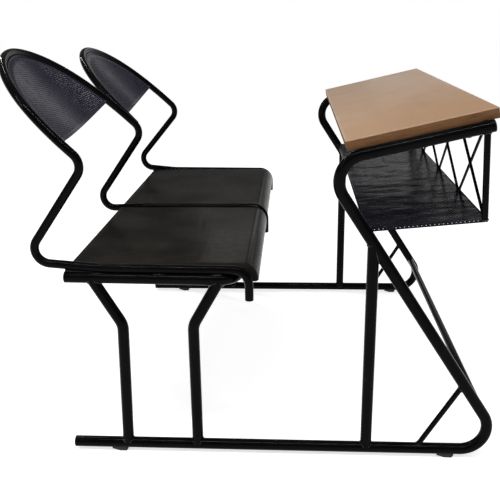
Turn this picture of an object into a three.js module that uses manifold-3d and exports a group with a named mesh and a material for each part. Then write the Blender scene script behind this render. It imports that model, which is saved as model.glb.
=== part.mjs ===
// A two-seat school desk with its two chairs on one welded tube frame.
// Millimetres. +X points forward, from the chairs to the desk. +Y is the pupils' left. +Z is up.
// The outlines below are laid out from the skids: x along them, z up from their centre line.
import * as THREE from "three";
import { mergeVertices } from "three/addons/utils/BufferGeometryUtils.js";
import Module from "manifold-3d";

const wasm = await Module();
wasm.setup();

// Clearances and walls
const GAP = 0.3;
const TUBE_WALL = 1.6;
const SHEET = 1.6;
const CUT_OVERRUN = 4;
const MERGE_WITHIN = 1e-4;

// Tubes and rods, outside diameters
const FRAME_TUBE_D = 25.4;
const CHAIR_TUBE_D = 19.05;
const CROSS_TUBE_D = 19.05;
const SHELF_POST_D = 13.5;
const BRACE_D = 12;
const LATTICE_D = 5.5;

// How finely round things are cut
const OUTER_SIDES = 16;
const INNER_SIDES = 8;
const PLUG_SIDES = 10;
const ROD_SIDES = 10;
const ARC_STEP_DEG = 17;
const HOOP_STEPS = 18;
const DOME_STEPS = 2;

// Desk board
const BOARD_LENGTH = 1016;
const BOARD_DEPTH = 306.5;
const BOARD_THICK = 20;
const BOARD_EASE = 1.5;
const BOARD_REAR_X = 227.8;

// Side frames: one bent tube each, seen from the side
// Their centre lines stand this far past the board's ends.
const SIDE_PAST_BOARD = 4;
const SKID_REAR_X = -384;
const SKID_TO_DIAGONAL_X = 610;
const DIAGONAL_LEAN_DEG = 32.8;
const SIDE_BEND_R = 57;
const TOP_SLOPE_DEG = 12.45;
// The board's front edge stands this far past the rails.
const BOARD_PAST_RAIL = 8.1;
const RAIL_AT_ZERO_Z = 622.6;

// Uprights and braces between skid and diagonal
const DESK_POST_X = 293;
const BRACE_FOOT_X = 406.5;
const BRACE_LEAN_DEG = 30.5;
const LOW_CROSS_Z = 105;

// Chair legs
const REAR_LEG_FOOT_X = -260;
const REAR_LEG_KNEE_X = -252.5;
const FRONT_LEG_FOOT_X = -95.5;
const FRONT_LEG_KNEE_X = -95;
const LEG_KNEE_Z = 301;
const LEG_SPLAY_DEG = 29.6;
const LEG_BEND_R = 48;

// Seat frame: one tube bent to a U under both seats
const SEAT_FRAME_Z = 408.7;
const SEAT_FRAME_REAR_X = -371.5;
const SEAT_FRAME_FRONT_X = 4;
const SEAT_FRAME_BEND_R = 45;
// The rear ends of the seat frame stand this much higher than its front.
const SEAT_FRAME_RISE = 4.5;
const SEAT_CROSS_X = -265;

// Chair tubes: stub, seat run, upright and hoop
const STUB_X = 41.5;
// The right stub is bent down this much further back.
const RIGHT_STUB_SETBACK = 11.5;
const STUB_END_Z = 364;
const STUB_BEND_R = 35;
const RUN_LIFT_X = -294;
const RUN_LIFT_R = 200;
const REAR_CORNER_X = -448;
const CHAIR_BEND_R = 33;
const KNEE_X = -290.5;
const KNEE_Z = 651.5;
const KNEE_BEND_R = 34;
const HOOP_LEAN_DEG = 46.6;
const RIGHT_HOOP_HEIGHT = 318;
const LEFT_HOOP_HEIGHT = 302;
const HOOP_ROUND_ACROSS = 1.82;
const HOOP_ROUND_UP = 2.6;
const HOOP_START_SHARE = 0.2;
// The bent backs are a little out of true: each upright stands further forward
// than the one to its right, its knee is lower, and the rear corners differ in height.
const CORNER_STEP_X = 13;
const KNEE_STEP_X = 18.5;
const KNEE_STEP_Z = -10.5;
const OUTER_CORNER_RISE = 18;
const MIDDLE_WELD_Y = 10;

// Seats and backrests
const SEAT_REAR_X = -361;
const SEAT_FRONT_X = 50;
const SEAT_NOSE_R = 26;
const SEAT_NOSE_DROP = 38;
const SEAT_FLANGE = 14;
const SEAT_TOP_ABOVE_TUBE = 1.2;
const NOSE_STEPS = 7;
const BACK_LOW_EDGE = 91;
// The low edge is this much higher at the left tube, and as much lower at the right.
const BACK_EDGE_SLANT = 29;
const BACK_DISH = 24;
const BACK_COLUMNS = 16;
const BACK_ROWS = 5;
const BACK_CORNER_SHARE = 0.985;

// Book shelf and front lattice
const SHELF_REAR_X = 275;
const SHELF_PAST_RAIL = 5;
const SHELF_REAR_Z = 522.4;
const SHELF_SLOPE_DEG = 5.26;
// The shelf ends this far past the centre lines of the side frames.
const SHELF_PAST_SIDE = 4;
const SHELF_HEM = 12;
const SHELF_POST_SETBACK = 2;
const SHELF_POST_LEAN_DEG = 3.1;
const FRONT_CROSS_SETBACK = 15;
const LATTICE_SETBACK = 4.5;
// The outer rods stand this far inside the side frames, and each rod's head
// stops this much short of the next foot.
const LATTICE_END_ROOM = 12;
const LATTICE_HEAD_STEP = 14;

// Glides under the skids
const GLIDE_DROP = 6;
const GLIDE_TAIL = 26;
const GLIDE_NOSE = 12;
const GLIDE_FLAT = 16;
const GLIDE_WIDTH = 19;
const REAR_GLIDE_X = -272;
const FRONT_GLIDE_X = 480;

// Plugs in the open tube ends
const PLUG_SHANK = 12;
const PLUG_DOME = 3.5;

const rad = THREE.MathUtils.degToRad;
const LEAST_TURN = rad(0.1);
const TOP_SLOPE = rad(TOP_SLOPE_DEG);
const SHELF_SLOPE = rad(SHELF_SLOPE_DEG);
const HOOP_LEAN = rad(HOOP_LEAN_DEG);
const SHELF_POST_LEAN = rad(SHELF_POST_LEAN_DEG);
const RAIL_FRONT_X = BOARD_REAR_X + BOARD_DEPTH * Math.cos(TOP_SLOPE) - BOARD_PAST_RAIL;
const SHELF_FRONT_X = RAIL_FRONT_X + SHELF_PAST_RAIL;
const SHELF_POST_X = RAIL_FRONT_X - SHELF_POST_SETBACK;
const FRONT_CROSS_X = RAIL_FRONT_X - FRONT_CROSS_SETBACK;
const SIDE_Y = BOARD_LENGTH / 2 + SIDE_PAST_BOARD;
const SHELF_HALF_WIDTH = SIDE_Y + SHELF_PAST_SIDE;
const LATTICE_PITCH = (SIDE_Y - LATTICE_END_ROOM) / 2;
const LATTICE_RUN = LATTICE_PITCH - LATTICE_HEAD_STEP;
const FRAME_R = FRAME_TUBE_D / 2;
const CHAIR_R = CHAIR_TUBE_D / 2;
const CROSS_R = CROSS_TUBE_D / 2;
const CHAIR_RUN_Z = SEAT_FRAME_Z + FRAME_R + GAP + CHAIR_R;
const SEAT_TOP_Z = CHAIR_RUN_Z + CHAIR_R + SEAT_TOP_ABOVE_TUBE;

const POWDER_COAT = { color: 0x141416, metalness: 0.4, roughness: 0.35 };
const SHEET_COAT = { color: 0x26242a, metalness: 0.4, roughness: 0.45 };
const LAMINATE = { color: 0xb4947a, metalness: 0, roughness: 0.5 };
const SOFT_PLASTIC = { color: 0x101010, metalness: 0, roughness: 0.8 };

const part = new THREE.Group();

// Solids

function solidOf(geometry) {
  const bare = geometry.clone();
  bare.deleteAttribute("normal");
  bare.deleteAttribute("uv");
  const merged = mergeVertices(bare, MERGE_WITHIN);
  return new wasm.Manifold(
    new wasm.Mesh({
      numProp: 3,
      vertProperties: new Float32Array(merged.attributes.position.array),
      triVerts: new Uint32Array(merged.index.array),
    }),
  );
}

function geometryOf(solid) {
  const mesh = solid.getMesh();
  return new THREE.BufferGeometry()
    .setAttribute("position", new THREE.BufferAttribute(mesh.vertProperties, 3))
    .setIndex(new THREE.BufferAttribute(mesh.triVerts, 1));
}

function cut(geometry, ...tools) {
  let solid = solidOf(geometry);
  for (const tool of tools) solid = solid.subtract(tool);
  return geometryOf(solid);
}

function add(name, geometry, finish) {
  geometry.computeVertexNormals();
  const mesh = new THREE.Mesh(geometry, new THREE.MeshStandardMaterial(finish));
  mesh.name = name;
  part.add(mesh);
  return mesh;
}

// Tubes

// A curve that holds a list of places and directions, with a ring of the tube at each.
class StationCurve extends THREE.Curve {
  constructor(stations) {
    super();
    this.stations = stations;
  }

  at(u) {
    return this.stations[Math.round(u * (this.stations.length - 1))];
  }

  getPointAt(u, target = new THREE.Vector3()) {
    return target.copy(this.at(u).place);
  }

  getTangentAt(u, target = new THREE.Vector3()) {
    return target.copy(this.at(u).direction);
  }
}

function vec(x, y, z) {
  return new THREE.Vector3(x, y, z);
}

function station(place, direction) {
  return { place: place.clone(), direction: direction.clone().normalize() };
}

// The stations of a bend of the given radius at a corner between two straight runs.
function bendStations(before, corner, after, radius) {
  const into = corner.clone().sub(before).normalize();
  const out = after.clone().sub(corner).normalize();
  const turn = into.angleTo(out);
  if (turn < LEAST_TURN) return [station(corner, into)];
  const reach = radius * Math.tan(turn / 2);
  const start = corner.clone().addScaledVector(into, -reach);
  const side = out.clone().addScaledVector(into, -into.dot(out)).normalize();
  const centre = start.clone().addScaledVector(side, radius);
  const steps = Math.max(2, Math.ceil(turn / rad(ARC_STEP_DEG)));
  return Array.from({ length: steps + 1 }, (_, i) => {
    const angle = (turn * i) / steps;
    const place = centre
      .clone()
      .addScaledVector(side, -radius * Math.cos(angle))
      .addScaledVector(into, radius * Math.sin(angle));
    const direction = into
      .clone()
      .multiplyScalar(Math.cos(angle))
      .addScaledVector(side, Math.sin(angle));
    return station(place, direction);
  });
}

// Stations along straight runs through the points, with a bend of radii[i] at each inner point.
function pathStations(points, radii) {
  const last = points.length - 1;
  const first = points[1].clone().sub(points[0]);
  const end = points[last].clone().sub(points[last - 1]);
  const bends = radii.flatMap((radius, i) =>
    bendStations(points[i], points[i + 1], points[i + 2], radius),
  );
  return [station(points[0], first), ...bends, station(points[last], end)];
}

function reversed(stations) {
  return stations
    .map((s) => station(s.place, s.direction.clone().negate()))
    .reverse();
}

function ring(radius, sides) {
  return Array.from({ length: sides }, (_, i) => {
    const angle = (2 * Math.PI * i) / sides;
    return new THREE.Vector2(radius * Math.cos(angle), radius * Math.sin(angle));
  });
}

function sweep(stations, shape) {
  return new THREE.ExtrudeGeometry(shape, {
    steps: stations.length - 1,
    extrudePath: new StationCurve(stations),
  });
}

// A hollow tube. The many-sided bore has the area of the round one, for a true weight.
function tube(stations, diameter) {
  const shape = new THREE.Shape(ring(diameter / 2, OUTER_SIDES));
  const slice = (2 * Math.PI) / INNER_SIDES;
  const boreR = (diameter / 2 - TUBE_WALL) * Math.sqrt(slice / Math.sin(slice));
  shape.holes.push(new THREE.Path(ring(boreR, INNER_SIDES)));
  return sweep(stations, shape);
}

function rod(stations, diameter) {
  return sweep(stations, new THREE.Shape(ring(diameter / 2, ROD_SIDES)));
}

// The room that a tube and its clearance take up, for cutting what meets it.
function roomFor(stations, diameter) {
  const clear = (diameter / 2 + GAP) / Math.cos(Math.PI / OUTER_SIDES);
  return solidOf(sweep(stations, new THREE.Shape(ring(clear, OUTER_SIDES))));
}

// Side view points, turned into places on one side of the desk

function diagonalXAt(z) {
  return SKID_TO_DIAGONAL_X - z * Math.tan(rad(DIAGONAL_LEAN_DEG));
}

function railZAt(x) {
  return RAIL_AT_ZERO_Z + x * Math.tan(TOP_SLOPE);
}

function shelfTopZAt(x) {
  return SHELF_REAR_Z + (x - SHELF_REAR_X) * Math.tan(SHELF_SLOPE);
}

function shelfPostXAt(z) {
  return SHELF_POST_X - (z - shelfTopZAt(SHELF_POST_X)) * Math.tan(SHELF_POST_LEAN);
}

// The height where the diagonal's centre line meets the desk rail's centre line.
function topCornerZ() {
  const fall = Math.tan(rad(DIAGONAL_LEAN_DEG)) * Math.tan(TOP_SLOPE);
  return railZAt(SKID_TO_DIAGONAL_X) / (1 + fall);
}

function sideStations(y) {
  const cornerZ = topCornerZ();
  const points = [
    vec(SKID_REAR_X, y, 0),
    vec(SKID_TO_DIAGONAL_X, y, 0),
    vec(diagonalXAt(cornerZ), y, cornerZ),
    vec(RAIL_FRONT_X, y, railZAt(RAIL_FRONT_X)),
  ];
  return pathStations(points, [SIDE_BEND_R, SIDE_BEND_R]);
}

// How much higher than its front the seat frame is at this place along it.
function seatFrameRise(x) {
  const length = SEAT_FRAME_FRONT_X - SEAT_FRAME_REAR_X;
  return (SEAT_FRAME_RISE * (SEAT_FRAME_FRONT_X - x)) / length;
}

function seatFrameStations() {
  const frontZ = SEAT_FRAME_Z;
  const rearZ = SEAT_FRAME_Z + SEAT_FRAME_RISE;
  const points = [
    vec(SEAT_FRAME_REAR_X, -SIDE_Y, rearZ),
    vec(SEAT_FRAME_FRONT_X, -SIDE_Y, frontZ),
    vec(SEAT_FRAME_FRONT_X, SIDE_Y, frontZ),
    vec(SEAT_FRAME_REAR_X, SIDE_Y, rearZ),
  ];
  return pathStations(points, [SEAT_FRAME_BEND_R, SEAT_FRAME_BEND_R]);
}

function acrossStations(x, z) {
  return pathStations([vec(x, -SIDE_Y, z), vec(x, SIDE_Y, z)], []);
}

// Plugs and glides

// A domed plug that stands in the end of a tube, pointing along the given direction.
function addPlug(name, end, diameter) {
  const face = diameter / 2;
  const shank = face - TUBE_WALL - GAP;
  const dome = Array.from({ length: DOME_STEPS + 1 }, (_, i) => {
    const angle = (Math.PI / 2) * (i / DOME_STEPS);
    return new THREE.Vector2(face * Math.cos(angle), GAP + PLUG_DOME * Math.sin(angle));
  });
  dome[DOME_STEPS].x = 0;
  const profile = [
    new THREE.Vector2(0, -PLUG_SHANK),
    new THREE.Vector2(shank, -PLUG_SHANK),
    new THREE.Vector2(shank, GAP),
    ...dome,
  ];
  const plug = new THREE.LatheGeometry(profile, PLUG_SIDES);
  const up = vec(0, 1, 0);
  plug.applyQuaternion(new THREE.Quaternion().setFromUnitVectors(up, end.direction));
  plug.translate(end.place.x, end.place.y, end.place.z);
  add(name, geometryOf(solidOf(plug)), SOFT_PLASTIC);
}

// A tapered rubber glide under a skid, hollowed on top to sit against the tube.
function addGlide(name, x, y, skidRoom) {
  const bottom = -FRAME_R - GLIDE_DROP;
  const top = -FRAME_R / 2;
  const outline = new THREE.Shape([
    new THREE.Vector2(-GLIDE_TAIL, top),
    new THREE.Vector2(-GLIDE_TAIL, -FRAME_R - GAP),
    new THREE.Vector2(-GLIDE_FLAT / 2, bottom),
    new THREE.Vector2(GLIDE_FLAT / 2, bottom),
    new THREE.Vector2(GLIDE_NOSE, -FRAME_R),
    new THREE.Vector2(GLIDE_NOSE, top),
  ]);
  const block = new THREE.ExtrudeGeometry(outline, {
    depth: GLIDE_WIDTH,
    bevelEnabled: false,
  });
  block.rotateX(Math.PI / 2);
  block.translate(x, y + GLIDE_WIDTH / 2, 0);
  add(name, cut(block, skidRoom), SOFT_PLASTIC);
}

// One side of the desk and chair frame

function addSideFrame(side, y) {
  const stations = sideStations(y);
  const room = roomFor(stations, FRAME_TUBE_D);
  add(`${side}_side_tube`, tube(stations, FRAME_TUBE_D), POWDER_COAT);
  addPlug(`${side}_skid_plug`, reversed(stations).at(-1), FRAME_TUBE_D);
  addPlug(`${side}_rail_plug`, stations.at(-1), FRAME_TUBE_D);
  addGlide(`${side}_rear_glide`, REAR_GLIDE_X, y, room);
  addGlide(`${side}_front_glide`, FRONT_GLIDE_X, y, room);
  return room;
}

function addDeskPost(side, y, room) {
  const topZ = (SKID_TO_DIAGONAL_X - DESK_POST_X) / Math.tan(rad(DIAGONAL_LEAN_DEG));
  const line = pathStations([vec(DESK_POST_X, y, 0), vec(DESK_POST_X, y, topZ)], []);
  const post = tube(line, FRAME_TUBE_D);
  add(`${side}_desk_post`, cut(post, room), POWDER_COAT);
}

function addCornerBrace(side, y, room) {
  const rise = Math.tan(rad(BRACE_LEAN_DEG)) + Math.tan(rad(DIAGONAL_LEAN_DEG));
  const topZ = (SKID_TO_DIAGONAL_X - BRACE_FOOT_X) / rise;
  const ends = [vec(BRACE_FOOT_X, y, 0), vec(diagonalXAt(topZ), y, topZ)];
  const brace = rod(pathStations(ends, []), BRACE_D);
  add(`${side}_corner_brace`, cut(brace, room), POWDER_COAT);
}

function addLeg(name, y, footX, kneeX, splay, rooms) {
  const topX = kneeX + splay * (SEAT_FRAME_Z - LEG_KNEE_Z) * Math.tan(rad(LEG_SPLAY_DEG));
  const points = [vec(footX, y, 0), vec(kneeX, y, LEG_KNEE_Z), vec(topX, y, SEAT_FRAME_Z)];
  const leg = tube(pathStations(points, [LEG_BEND_R]), FRAME_TUBE_D);
  add(name, cut(leg, ...rooms), POWDER_COAT);
}

function addSide(side, y, seatRoom) {
  const room = addSideFrame(side, y);
  const rooms = [room, seatRoom];
  addDeskPost(side, y, room);
  addCornerBrace(side, y, room);
  addLeg(`${side}_rear_leg`, y, REAR_LEG_FOOT_X, REAR_LEG_KNEE_X, -1, rooms);
  addLeg(`${side}_front_leg`, y, FRONT_LEG_FOOT_X, FRONT_LEG_KNEE_X, 1, rooms);
  return room;
}

// Tubes that join the two sides

function addSeatFrame(seatRoom) {
  const stations = seatFrameStations();
  add("seat_frame_tube", tube(stations, FRAME_TUBE_D), POWDER_COAT);
  addPlug("right_seat_frame_plug", reversed(stations).at(-1), FRAME_TUBE_D);
  addPlug("left_seat_frame_plug", stations.at(-1), FRAME_TUBE_D);
  const z = SEAT_FRAME_Z + FRAME_R - CROSS_R;
  const cross = tube(acrossStations(SEAT_CROSS_X, z), CROSS_TUBE_D);
  add("seat_cross_tube", cut(cross, seatRoom), POWDER_COAT);
}

function addLowCross(rooms) {
  const cross = tube(acrossStations(diagonalXAt(LOW_CROSS_Z), LOW_CROSS_Z), CROSS_TUBE_D);
  add("low_cross_tube", cut(cross, ...rooms), POWDER_COAT);
}

// The tube under the board's front edge, which the lattice hangs from.
function frontCrossCentre() {
  const lift = (FRAME_R - CROSS_R) / Math.cos(TOP_SLOPE);
  return vec(FRONT_CROSS_X, 0, railZAt(FRONT_CROSS_X) + lift);
}

function addFrontCross(rooms) {
  const centre = frontCrossCentre();
  const stations = acrossStations(centre.x, centre.z);
  add("desk_front_cross_tube", cut(tube(stations, CROSS_TUBE_D), ...rooms), POWDER_COAT);
  return roomFor(stations, CROSS_TUBE_D);
}

// Chair tubes

// A step from one upright to the next, at this width.
function stepped(step, y) {
  return (step * y) / SIDE_Y;
}

// The outer seat runs lie along the sloping rails, and the middle one is level.
function runZAt(x, y) {
  return CHAIR_RUN_Z + seatFrameRise(x) * (Math.abs(y) / SIDE_Y);
}

// A place on a hoop: angle 0 is its right foot, half a turn its left foot.
function hoopPlace(hoop, angle) {
  const cos = Math.cos(angle);
  const across = Math.sign(cos) * Math.abs(cos) ** (2 / HOOP_ROUND_ACROSS);
  const up = hoop.height * Math.sin(angle) ** (2 / HOOP_ROUND_UP);
  const y = hoop.centreY - hoop.halfWidth * across;
  return leaningPlace(y, up, 0);
}

// A place in the leaning plane of the backs, set behind it by the given depth.
function leaningPlace(y, up, behind) {
  const forward = -up * Math.sin(HOOP_LEAN) - behind * Math.cos(HOOP_LEAN);
  const above = up * Math.cos(HOOP_LEAN) - behind * Math.sin(HOOP_LEAN);
  return vec(
    KNEE_X + stepped(KNEE_STEP_X, y) + forward,
    y,
    KNEE_Z + stepped(KNEE_STEP_Z, y) + above,
  );
}

function hoopStations(hoop) {
  const start = Math.asin(HOOP_START_SHARE ** (HOOP_ROUND_UP / 2));
  const sweepAngle = Math.PI - 2 * start;
  const nudge = sweepAngle / HOOP_STEPS / 4;
  return Array.from({ length: HOOP_STEPS + 1 }, (_, i) => {
    const angle = start + (sweepAngle * i) / HOOP_STEPS;
    const ahead = hoopPlace(hoop, angle + nudge);
    const behind = hoopPlace(hoop, angle - nudge);
    return station(hoopPlace(hoop, angle), ahead.sub(behind));
  });
}

// Stub, seat run, rear bend, upright and knee at one width, ending where the hoop starts.
function uprightStations(y, hoopStart) {
  const stubX = y < 0 ? STUB_X - RIGHT_STUB_SETBACK : STUB_X;
  const cornerRise = OUTER_CORNER_RISE * (Math.abs(y) / SIDE_Y);
  const points = [
    vec(stubX, y, STUB_END_Z),
    vec(stubX, y, runZAt(stubX, y)),
    vec(RUN_LIFT_X, y, runZAt(RUN_LIFT_X, y)),
    vec(REAR_CORNER_X + stepped(CORNER_STEP_X, y), y, CHAIR_RUN_Z + cornerRise),
    leaningPlace(y, 0, 0),
    hoopStart,
  ];
  const radii = [STUB_BEND_R, RUN_LIFT_R, CHAIR_BEND_R, KNEE_BEND_R];
  return pathStations(points, radii).slice(0, -1);
}

function rightChairStations(hoop) {
  const arch = hoopStations(hoop);
  return [
    ...uprightStations(-SIDE_Y, arch[0].place),
    ...arch,
    ...reversed(uprightStations(0, arch.at(-1).place)),
  ];
}

// The left chair's tube ends at the middle knee, against the right chair's tube.
function leftChairStations(hoop) {
  const arch = hoopStations(hoop);
  const foot = hoopPlace(hoop, 0);
  const first = station(foot, arch[0].place.clone().sub(foot));
  return [first, ...arch, ...reversed(uprightStations(SIDE_Y, arch.at(-1).place))];
}

function addChairTubes() {
  const rightHoop = {
    centreY: -SIDE_Y / 2,
    halfWidth: SIDE_Y / 2,
    height: RIGHT_HOOP_HEIGHT,
  };
  const leftHoop = {
    centreY: (SIDE_Y + MIDDLE_WELD_Y) / 2,
    halfWidth: (SIDE_Y - MIDDLE_WELD_Y) / 2,
    height: LEFT_HOOP_HEIGHT,
  };
  const right = rightChairStations(rightHoop);
  const left = leftChairStations(leftHoop);
  const rightRoom = roomFor(right, CHAIR_TUBE_D);
  const leftRoom = roomFor(left, CHAIR_TUBE_D);
  add("right_chair_tube", tube(right, CHAIR_TUBE_D), POWDER_COAT);
  add("left_chair_tube", cut(tube(left, CHAIR_TUBE_D), rightRoom), POWDER_COAT);
  addPlug("right_stub_plug", reversed(right).at(-1), CHAIR_TUBE_D);
  addPlug("middle_stub_plug", right.at(-1), CHAIR_TUBE_D);
  addPlug("left_stub_plug", left.at(-1), CHAIR_TUBE_D);
  const rooms = [rightRoom, leftRoom];
  addBackPanel("right_back_panel", rightHoop, rooms);
  addBackPanel("left_back_panel", leftHoop, rooms);
}

// Backrests

// The height of a hoop's centre line above its feet, at a share of its half width.
function archHeight(hoop, across) {
  const rest = 1 - Math.abs(across) ** HOOP_ROUND_ACROSS;
  return hoop.height * rest ** (1 / HOOP_ROUND_UP);
}

// The share of the half width where the arch is this high, drawn in a little.
function backReach(hoop, up) {
  const rest = 1 - (up / hoop.height) ** HOOP_ROUND_UP;
  return BACK_CORNER_SHARE * rest ** (1 / HOOP_ROUND_ACROSS);
}

function dishDepth(hoop, across, up) {
  const upShare = (up / hoop.height) ** HOOP_ROUND_UP;
  return BACK_DISH * Math.max(1 - upShare - Math.abs(across) ** HOOP_ROUND_ACROSS, 0);
}

// A dished sheet that fills a hoop from its low edge up, trimmed to the hoop's tube.
function addBackPanel(name, hoop, rooms) {
  const sheet = new THREE.BoxGeometry(1, 1, 1, BACK_COLUMNS, BACK_ROWS, 1);
  const rightReach = backReach(hoop, BACK_LOW_EDGE - BACK_EDGE_SLANT);
  const leftReach = backReach(hoop, BACK_LOW_EDGE + BACK_EDGE_SLANT);
  const place = sheet.attributes.position;
  for (let i = 0; i < place.count; i++) {
    const side = Math.sin(Math.PI * place.getX(i));
    const across = side * (side < 0 ? rightReach : leftReach);
    const lowEdge = BACK_LOW_EDGE + BACK_EDGE_SLANT * side;
    const upShare = place.getY(i) + 1 / 2;
    const up = THREE.MathUtils.lerp(lowEdge, archHeight(hoop, across), upShare);
    const behind = dishDepth(hoop, across, up) - SHEET * place.getZ(i);
    const at = leaningPlace(hoop.centreY + hoop.halfWidth * across, up, behind);
    place.setXYZ(i, at.x, at.y, at.z);
  }
  add(name, cut(sheet, ...rooms), SHEET_COAT);
}

// Seats

// The seat's side view, set in by the given depth: flat top, round nose and short front lip.
function seatEdge(inset) {
  const front = SEAT_FRONT_X - inset;
  const top = SEAT_TOP_Z - inset;
  const radius = SEAT_NOSE_R - inset;
  const nose = Array.from({ length: NOSE_STEPS + 1 }, (_, i) => {
    const angle = (Math.PI / 2) * (i / NOSE_STEPS);
    return new THREE.Vector2(
      front - radius + radius * Math.sin(angle),
      top - radius + radius * Math.cos(angle),
    );
  });
  const rear = new THREE.Vector2(SEAT_REAR_X, top);
  return [rear, ...nose, new THREE.Vector2(front, SEAT_TOP_Z - SEAT_NOSE_DROP)];
}

function seatSlice(points, thick, y) {
  const slice = new THREE.ExtrudeGeometry(new THREE.Shape(points), {
    depth: thick,
    bevelEnabled: false,
  });
  slice.rotateX(Math.PI / 2);
  slice.translate(0, y, 0);
  return solidOf(slice);
}

// A pressed seat: a bent sheet with a turned-down flange along each side.
function addSeat(name, fromY, toY) {
  const outer = seatEdge(0);
  const skin = [...outer, ...seatEdge(SHEET).reverse()];
  const flange = [...outer, ...seatEdge(SEAT_FLANGE).reverse()];
  const seat = seatSlice(skin, toY - fromY, toY)
    .add(seatSlice(flange, SHEET, toY))
    .add(seatSlice(flange, SHEET, fromY + SHEET));
  add(name, geometryOf(seat), SHEET_COAT);
}

function addSeats() {
  const clear = CHAIR_R + GAP;
  addSeat("right_seat", -SIDE_Y + clear, -clear);
  addSeat("left_seat", clear, SIDE_Y - clear);
}

// Desk board, shelf and lattice

function addBoard() {
  const lift = FRAME_R + GAP;
  const outline = new THREE.Shape([
    new THREE.Vector2(0, BOARD_EASE),
    new THREE.Vector2(BOARD_EASE, 0),
    new THREE.Vector2(BOARD_DEPTH - BOARD_EASE, 0),
    new THREE.Vector2(BOARD_DEPTH, BOARD_EASE),
    new THREE.Vector2(BOARD_DEPTH, BOARD_THICK - BOARD_EASE),
    new THREE.Vector2(BOARD_DEPTH - BOARD_EASE, BOARD_THICK),
    new THREE.Vector2(BOARD_EASE, BOARD_THICK),
    new THREE.Vector2(0, BOARD_THICK - BOARD_EASE),
  ]);
  const board = new THREE.ExtrudeGeometry(outline, {
    depth: BOARD_LENGTH,
    bevelEnabled: false,
  });
  board.rotateX(Math.PI / 2);
  board.translate(0, BOARD_LENGTH / 2, lift);
  board.rotateY(-TOP_SLOPE);
  const rearLow = BOARD_REAR_X + (lift + BOARD_THICK) * Math.sin(TOP_SLOPE);
  board.translate(rearLow, 0, railZAt(rearLow));
  add("desk_board", board, LAMINATE);
}

// A block lying along the shelf, from its rear edge, with its top the given height above it.
function shelfBlock(length, width, thick, rise) {
  const block = new THREE.BoxGeometry(length, width, thick);
  block.translate(length / 2, 0, rise - thick / 2);
  block.rotateY(-SHELF_SLOPE);
  block.translate(SHELF_REAR_X, 0, SHELF_REAR_Z);
  return block;
}

// A flat sheet with its four edges folded back under it to a hem.
function addShelf(rooms) {
  const length = (SHELF_FRONT_X - SHELF_REAR_X) / Math.cos(SHELF_SLOPE);
  const width = 2 * SHELF_HALF_WIDTH;
  const hem = 2 * SHELF_HEM;
  const inside = shelfBlock(length - hem, width - hem, SHELF_HEM, -SHEET);
  inside.translate(SHELF_HEM, 0, SHELF_HEM * Math.tan(SHELF_SLOPE));
  const sheet = shelfBlock(length, width, 2 * SHEET, 0);
  add("book_shelf", cut(sheet, solidOf(inside), ...rooms), SHEET_COAT);
}

// The space under the shelf's top face, for cutting what stands on it.
function shelfRoom() {
  const length = SHELF_FRONT_X - SHELF_REAR_X + SHELF_HEM;
  return solidOf(shelfBlock(length, 2 * SIDE_Y + SHELF_HEM, SHELF_HEM, GAP));
}

function addShelfPost(side, y, room, under) {
  const low = shelfTopZAt(SHELF_POST_X) - CUT_OVERRUN;
  const high = railZAt(SHELF_POST_X);
  const ends = [vec(shelfPostXAt(low), y, low), vec(shelfPostXAt(high), y, high)];
  const post = rod(pathStations(ends, []), SHELF_POST_D);
  add(`${side}_shelf_post`, cut(post, room, under), POWDER_COAT);
}

// One lattice rod from its foot on the shelf, leaning left (1) or right (-1) as it rises.
function addLatticeRod(name, footY, lean, over, under) {
  const layer = (-lean * (LATTICE_D + 2 * GAP)) / 2;
  const footX = SHELF_FRONT_X - LATTICE_SETBACK;
  const centre = frontCrossCentre();
  const foot = vec(footX + layer, footY, shelfTopZAt(footX));
  const head = vec(centre.x + layer, footY + lean * LATTICE_RUN, centre.z);
  const along = head.clone().sub(foot).normalize();
  foot.addScaledVector(along, -CUT_OVERRUN);
  const bar = rod(pathStations([foot, head], []), LATTICE_D);
  add(name, cut(bar, over, under), POWDER_COAT);
}

function addLattice(over, under) {
  const feet = [
    [-2, 1],
    [-1, -1],
    [-1, 1],
    [0, -1],
    [0, 1],
    [1, -1],
    [1, 1],
    [2, -1],
  ];
  feet.forEach(([place, lean], i) =>
    addLatticeRod(`lattice_rod_${i + 1}`, place * LATTICE_PITCH, lean, over, under),
  );
}

// Whole object

function build() {
  const seatRoom = roomFor(seatFrameStations(), FRAME_TUBE_D);
  const rightRoom = addSide("right", -SIDE_Y, seatRoom);
  const leftRoom = addSide("left", SIDE_Y, seatRoom);
  const sides = [rightRoom, leftRoom];
  const under = shelfRoom();
  addSeatFrame(seatRoom);
  addLowCross(sides);
  const over = addFrontCross(sides);
  addChairTubes();
  addSeats();
  addBoard();
  addShelf(sides);
  addShelfPost("right", -SIDE_Y, rightRoom, under);
  addShelfPost("left", SIDE_Y, leftRoom, under);
  addLattice(over, under);
}

build();

// The origin is the middle of the footprint, on the floor.
const bounds = new THREE.Box3().setFromObject(part);
const middle = bounds.getCenter(new THREE.Vector3());
part.position.set(-middle.x, -middle.y, -bounds.min.z);

export default part;
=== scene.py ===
"""The looks of a two-seat school desk with its chairs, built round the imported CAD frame."""

import logging
import math
from contextlib import contextmanager
from dataclasses import dataclass
from enum import Enum
from typing import Callable, Iterator, Sequence

import bpy
from mathutils import Matrix, Vector


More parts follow.
